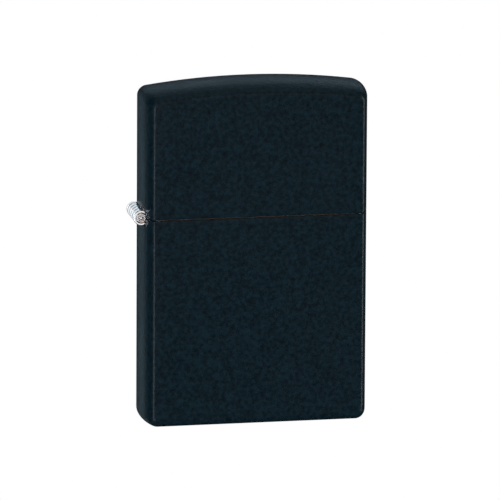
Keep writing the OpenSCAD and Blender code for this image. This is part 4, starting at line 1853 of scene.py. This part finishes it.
@dataclass
class FuelPack:
    """The wick, the packing round it and the felt pad that closes the tank."""

    route: tuple[tuple[float, float], ...] = (
        (0, 8.6), (0, 4), (0, 0), (-0.3, -2.5), (-1.3, -5.9), (-2.4, -8.8), (-2.7, -11.3), (-2.2, -14),
        (-1.2, -16.7), (-2.2, -19.4), (-2.7, -22.1), (-2.2, -24.8), (-1.4, -27.5), (-1.4, -31))
    wick_r: float = 1.6 * MM
    strands: int = 8
    lay: float = 5.0 * MM
    sides: int = 64
    fuzz: float = 0.09 * MM
    voxel: float = 0.28 * MM
    seed: int = 11
    wires: int = 3
    wire_r: float = 0.07 * MM
    wire_sides: int = 6
    wad_count: int = 5
    worn_top: float = 0.86
    worn_over: float = 2.4 * MM
    braid: tuple[float, float, float] = (0.9, 0.09, 0.015)
    wire_depth: float = 0.965
    top_dent: float = 0.25 * MM
    felt_corner: float = 1.4 * MM
    felt_edge: float = 0.4 * MM
    wad_full: float = 0.93
    wad_lumps: float = 0.06
    hole_gap: float = 0.25 * MM

    def line(self) -> list[Point]:
        """The wick's middle line, from its top down through the packing."""
        x = sum(chamber_ends()) / 2
        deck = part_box("wick")[1].z - self.route[0][1] * MM
        return curved([(x + dx * MM, 0.0, deck + dz * MM) for dx, dz in self.route], 22)

    def wick(self) -> Object:
        """The braided wick with its fine copper wires.

        Returns:
            The object.
        """
        line = self.line()
        points: list[Point] = []
        run, n = 0.0, self.sides
        tracks: list[list[Point]] = [[] for _ in range(self.wires)]
        deep = Vector((0, 1, 0))
        core, bulge, fray = self.braid
        for k, p in enumerate(line):
            across = deep.cross(heading(line, k)).normalized()
            run += (Vector(p) - Vector(line[k - 1])).length if k else 0.0
            worn = min(1.0, self.worn_top + run / self.worn_over)
            turn = TURN * run / self.lay
            for i in range(n):
                angle = TURN * i / n
                weave = max(abs(math.sin((self.strands * angle + turn * self.strands / 2) / 2)),
                            abs(math.sin((self.strands * angle - turn * self.strands / 2) / 2)))
                rough = noise.noise(Vector((math.cos(angle) * 4, math.sin(angle) * 4, run / MM * 2)))
                r = self.wick_r * (core + bulge * weave + fray * rough) * worn
                points.append(on_circle(p, across, deep, r, angle))
            for w, track in enumerate(tracks):
                angle = TURN * (run / self.lay + w / self.wires)
                track.append(on_circle(p, across, deep, self.wick_r * self.wire_depth * worn, angle))
        faces = bands(len(line), n)
        dent = Vector((0, 0, self.top_dent))
        for base, p in ((0, Vector(line[0]) - dent), ((len(line) - 1) * n, Vector(line[-1]))):
            points.append(tuple(p))
            faces += [(base + i, base + (i + 1) % n, len(points) - 1) for i in range(n)]
        body = make_mesh("wick_body", points, faces, [COTTON], sharp=60)
        strands = [self.strand(track) for track in tracks]
        return hang(joined("braided_wick", [body, *strands]), "case", "wick_cotton", "wick")

    def strand(self, track: list[Point]) -> Object:
        """One fine copper wire.

        Args:
            track: The points that it runs through.

        Returns:
            The object.
        """
        points: list[Point] = []
        n = self.wire_sides
        for k, p in enumerate(track):
            ahead = heading(track, k)
            side = ahead.orthogonal().normalized()
            other = ahead.cross(side)
            points += [on_circle(p, side, other, self.wire_r, TURN * i / n) for i in range(n)]
        faces = bands(len(track), n)
        faces += [tuple(range(n)), tuple(range((len(track) - 1) * n, len(track) * n))]
        return make_mesh("copper_strand", points, faces, [COPPER], sharp=60)

    def felt(self) -> None:
        """The felt pad, with a hole for the screw's head and a fuzzy surface."""
        low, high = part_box("felt_pad")
        r, outline = self.felt_corner, []
        for k, (x, y) in enumerate(((high.x - r, high.y - r), (low.x + r, high.y - r),
                                    (low.x + r, low.y + r), (high.x - r, low.y + r))):
            outline += arc(x, y, r, 90 * k, 90 * (k + 1), 8)
        hole = circle(middle("flint_screw").x, 0.0, extent("flint_screw").x / 2 + self.hole_gap, 32)
        pad = stamped("pad_blank", outline, [hole], Axis.Z, (low.z + high.z) / 2, high.z - low.z,
                      self.felt_edge, WOOL_FELT)
        grid = pad.modifiers.new("remesh", "REMESH")
        grid.mode, grid.voxel_size = "VOXEL", self.voxel
        pad = baked(pad, "felt_bottom_pad")
        self.roughen(pad, self.fuzz, 1.6)
        hang(tidy_mesh(pad, 180), "case", "felt", "felt_pad")

    def roughen(self, piece: Object, depth: float, size: float) -> None:
        """Moves a mesh's points in and out by seeded noise.

        Args:
            piece: The plain mesh object.
            depth: The furthest that a point moves inwards.
            size: The frequency of the noise, per millimetre.
        """
        moved = []
        for v in piece.data.vertices:
            p = v.co / MM * size + Vector((self.seed, 0, 0))
            moved.append(v.co - v.normal * depth * (0.5 + 0.5 * noise.fractal(p, 0.8, 2.1, 4)))
        piece.data.vertices.foreach_set("co", [c for p in moved for c in p])
        piece.data.update()

    def wad(self, number: int) -> None:
        """One wad of rayon, pressed between the tank's walls.

        Args:
            number: The wad's number, from 1.
        """
        node = f"rayon_ball_{number}"
        centre, size = middle(node), extent(node)
        work = bmesh.new()
        bmesh.ops.create_icosphere(work, subdivisions=5, radius=1.0)
        for v in work.verts:
            d = v.co.normalized()
            lump = noise.fractal(d * 2.2 + Vector((self.seed * number, 0, 0)), 0.9, 2.0, 5)
            reach = self.wad_full + self.wad_lumps * max(-1.0, min(1.0, lump))
            square = (abs(d.x) ** 3 + abs(d.y) ** 3 + abs(d.z) ** 3) ** (-1 / 3)
            full = Vector((d.x * size.x / 2, d.y * size.y / 2, d.z * size.z / 2))
            v.co = full * (0.5 + 0.5 * square) * reach
            v.co = Vector(max(-s / 2, min(s / 2, c)) for c, s in zip(v.co, size)) + centre
        mesh = bpy.data.meshes.new(f"rayon_wad_{number}")
        work.to_mesh(mesh)
        work.free()
        mesh.materials.append(RAYON.material())
        mesh.polygons.foreach_set("use_smooth", [True] * len(mesh.polygons))
        made = linked(mesh.name, mesh)
        hang(made, "case", "rayon", node)

    def build(self) -> None:
        """Builds the wick, the pad and the wads."""
        self.wick()
        self.felt()
        for number in range(1, self.wad_count + 1):
            self.wad(number)


# ---- Studio ----

@dataclass(frozen=True)
class Panel:
    """One soft light, aimed at the middle of the case."""

    name: str
    azimuth: float
    elevation: float
    distance: float
    width: float
    height: float
    power: float
    colour: Point = (1.0, 1.0, 1.0)


@dataclass
class Studio:
    """The floor, the lights and the camera."""

    azimuth: float = -11.2
    elevation: float = 13.1
    roll: float = 0.317
    distance: float = 1.5889
    lens: float = 701.62
    target: Point = (-0.214 * MM, 0.0, 27.737 * MM)
    sensor: float = 36.0
    floor_span: float = 6.0
    reflected: float = 0.02

    def direction(self, azimuth: float, elevation: float) -> Vector:
        """The direction from the case towards an azimuth and elevation.

        Args:
            azimuth: Degrees round from the front, towards +X.
            elevation: Degrees above the horizon.

        Returns:
            A vector of length 1.
        """
        a, e = math.radians(azimuth), math.radians(elevation)
        return Vector((math.sin(a) * math.cos(e), -math.cos(a) * math.cos(e), math.sin(e)))

    def camera(self) -> None:
        """Sets the camera at the viewing angle."""
        data = bpy.data.cameras.new("view_camera")
        data.sensor_width = self.sensor
        data.lens = self.lens
        data.clip_start, data.clip_end = 0.05, 50.0
        camera = linked("view_camera", data)
        back = self.direction(self.azimuth, self.elevation)
        camera.location = Vector(self.target) + back * self.distance
        turn = (-back).to_track_quat("-Z", "Y")
        camera.rotation_mode = "QUATERNION"
        camera.rotation_quaternion = turn @ Matrix.Rotation(math.radians(self.roll), 3, "Z").to_quaternion()
        bpy.context.scene.camera = camera

    def floor(self) -> None:
        """Lays a plain pale floor, which the lights below its level shine through."""
        half = self.floor_span / 2
        mesh = bpy.data.meshes.new("floor")
        mesh.from_pydata([(-half, -half, 0), (half, -half, 0), (half, half, 0), (-half, half, 0)], [],
                         [(0, 1, 2, 3)])
        material = bpy.data.materials.new("pale_floor")
        material.use_nodes = True
        tree = material.node_tree
        tree.nodes.clear()
        seen = wire(tree, "ShaderNodeLightPath").outputs["Is Camera Ray"]
        pale = wire(tree, "ShaderNodeEmission", Color=(1.0, 1.0, 1.0, 1))
        clear = wire(tree, "ShaderNodeBsdfTransparent")
        both = wire(tree, "ShaderNodeMixShader", in0=seen, in1=clear.outputs[0], in2=pale.outputs[0])
        wire(tree, "ShaderNodeOutputMaterial", Surface=both.outputs[0])
        mesh.materials.append(material)
        linked("floor", mesh)

    def world(self) -> None:
        """A white surround for the camera, and a dim one for reflections."""
        world = bpy.data.worlds.new("studio_world")
        bpy.context.scene.world = world
        world.use_nodes = True
        tree = world.node_tree
        tree.nodes.clear()
        seen = wire(tree, "ShaderNodeLightPath").outputs["Is Camera Ray"]
        dim = wire(tree, "ShaderNodeBackground", Color=(0.75, 0.88, 1.0, 1), Strength=self.reflected)
        white = wire(tree, "ShaderNodeBackground", Color=(1, 1, 1, 1), Strength=1.0)
        both = wire(tree, "ShaderNodeMixShader", in0=seen, in1=dim.outputs[0], in2=white.outputs[0])
        wire(tree, "ShaderNodeOutputWorld", Surface=both.outputs[0])

    def lights(self) -> None:
        """Hangs the soft panels round the case."""
        panels = (
            Panel("overhead_panel", 0, 88, 0.9, 0.9, 0.9, 0.9, (0.72, 0.89, 1.0)),
            Panel("left_strip", -39, -9, 0.7, 0.09, 0.8, 2.5, (0.92, 0.9, 1.0)),
            Panel("left_panel", -60, 5, 0.7, 0.4, 0.8, 0.12, (1.0, 0.86, 0.5)),
            Panel("rear_left_panel", -156, -12, 0.7, 0.13, 0.7, 0.19, (0.6, 0.87, 1.0)),
            Panel("rear_panel", 170, 24, 0.8, 0.9, 0.12, 0.38, (0.6, 0.82, 1.0)),
            Panel("rear_high_panel", 175, 50, 0.8, 0.7, 0.3, 0.2, (0.5, 0.83, 1.0)),
            Panel("right_strip", 75, 0, 0.7, 0.14, 0.7, 2.2),
            Panel("front_panel", 0, 16, 1.0, 0.7, 0.7, 1.0, (1.0, 0.67, 0.5)),
        )
        for panel in panels:
            self.hang_panel(panel)

    def inner_lights(self, parts: list[Object]) -> None:
        """Hangs the panels that light only the bright metal and what the case holds.

        Args:
            parts: The pieces that they light.
        """
        lit = bpy.data.collections.new("bright_parts")
        for part in parts:
            lit.objects.link(part)
        panels = (
            Panel("behind_bright", -172, -6, 0.9, 1.0, 0.8, 2.2),
            Panel("front_bright", 14, -16, 0.9, 0.6, 0.5, 1.0),
            Panel("top_bright", 20, 75, 0.9, 0.8, 0.8, 2.2),
            Panel("left_bright", -80, 25, 0.9, 0.5, 0.9, 1.0),
            Panel("right_bright", 95, 20, 0.9, 0.6, 0.9, 1.0),
        )
        for panel in panels:
            self.hang_panel(panel).light_linking.receiver_collection = lit

    def hang_panel(self, panel: Panel) -> Object:
        """Hangs one soft panel.

        Args:
            panel: The panel.

        Returns:
            The light.
        """
        data = bpy.data.lights.new(panel.name, "AREA")
        data.shape = "RECTANGLE"
        data.size, data.size_y = panel.width, panel.height
        data.energy = panel.power
        data.color = panel.colour
        lamp = linked(panel.name, data)
        out = self.direction(panel.azimuth, panel.elevation)
        lamp.location = Vector(self.target) + out * panel.distance
        lamp.rotation_mode = "QUATERNION"
        lamp.rotation_quaternion = out.to_track_quat("Z", "Y")
        lamp.visible_camera = False
        return lamp

    def build(self) -> None:
        """Sets the whole studio up."""
        self.camera()
        self.floor()
        self.world()
        self.lights()
        bpy.context.scene.view_settings.view_transform = "Standard"


def main() -> None:
    """Builds every sub-assembly in order."""
    logging.basicConfig(level=logging.INFO, format="%(name)s %(message)s")
    studio = Studio()
    studio.build()
    case = Case()
    case.bottom()
    case.lid()
    shells = set(bpy.context.scene.objects)
    for part in (Hinge(), Insert(), CamSet(), Striker(), FlintFeed(), FuelPack()):
        LOG.info("building %s", type(part).__name__)
        part.build()
    studio.inner_lights([piece for piece in bpy.context.scene.objects if piece not in shells])


if __name__ == "__main__":
    main()
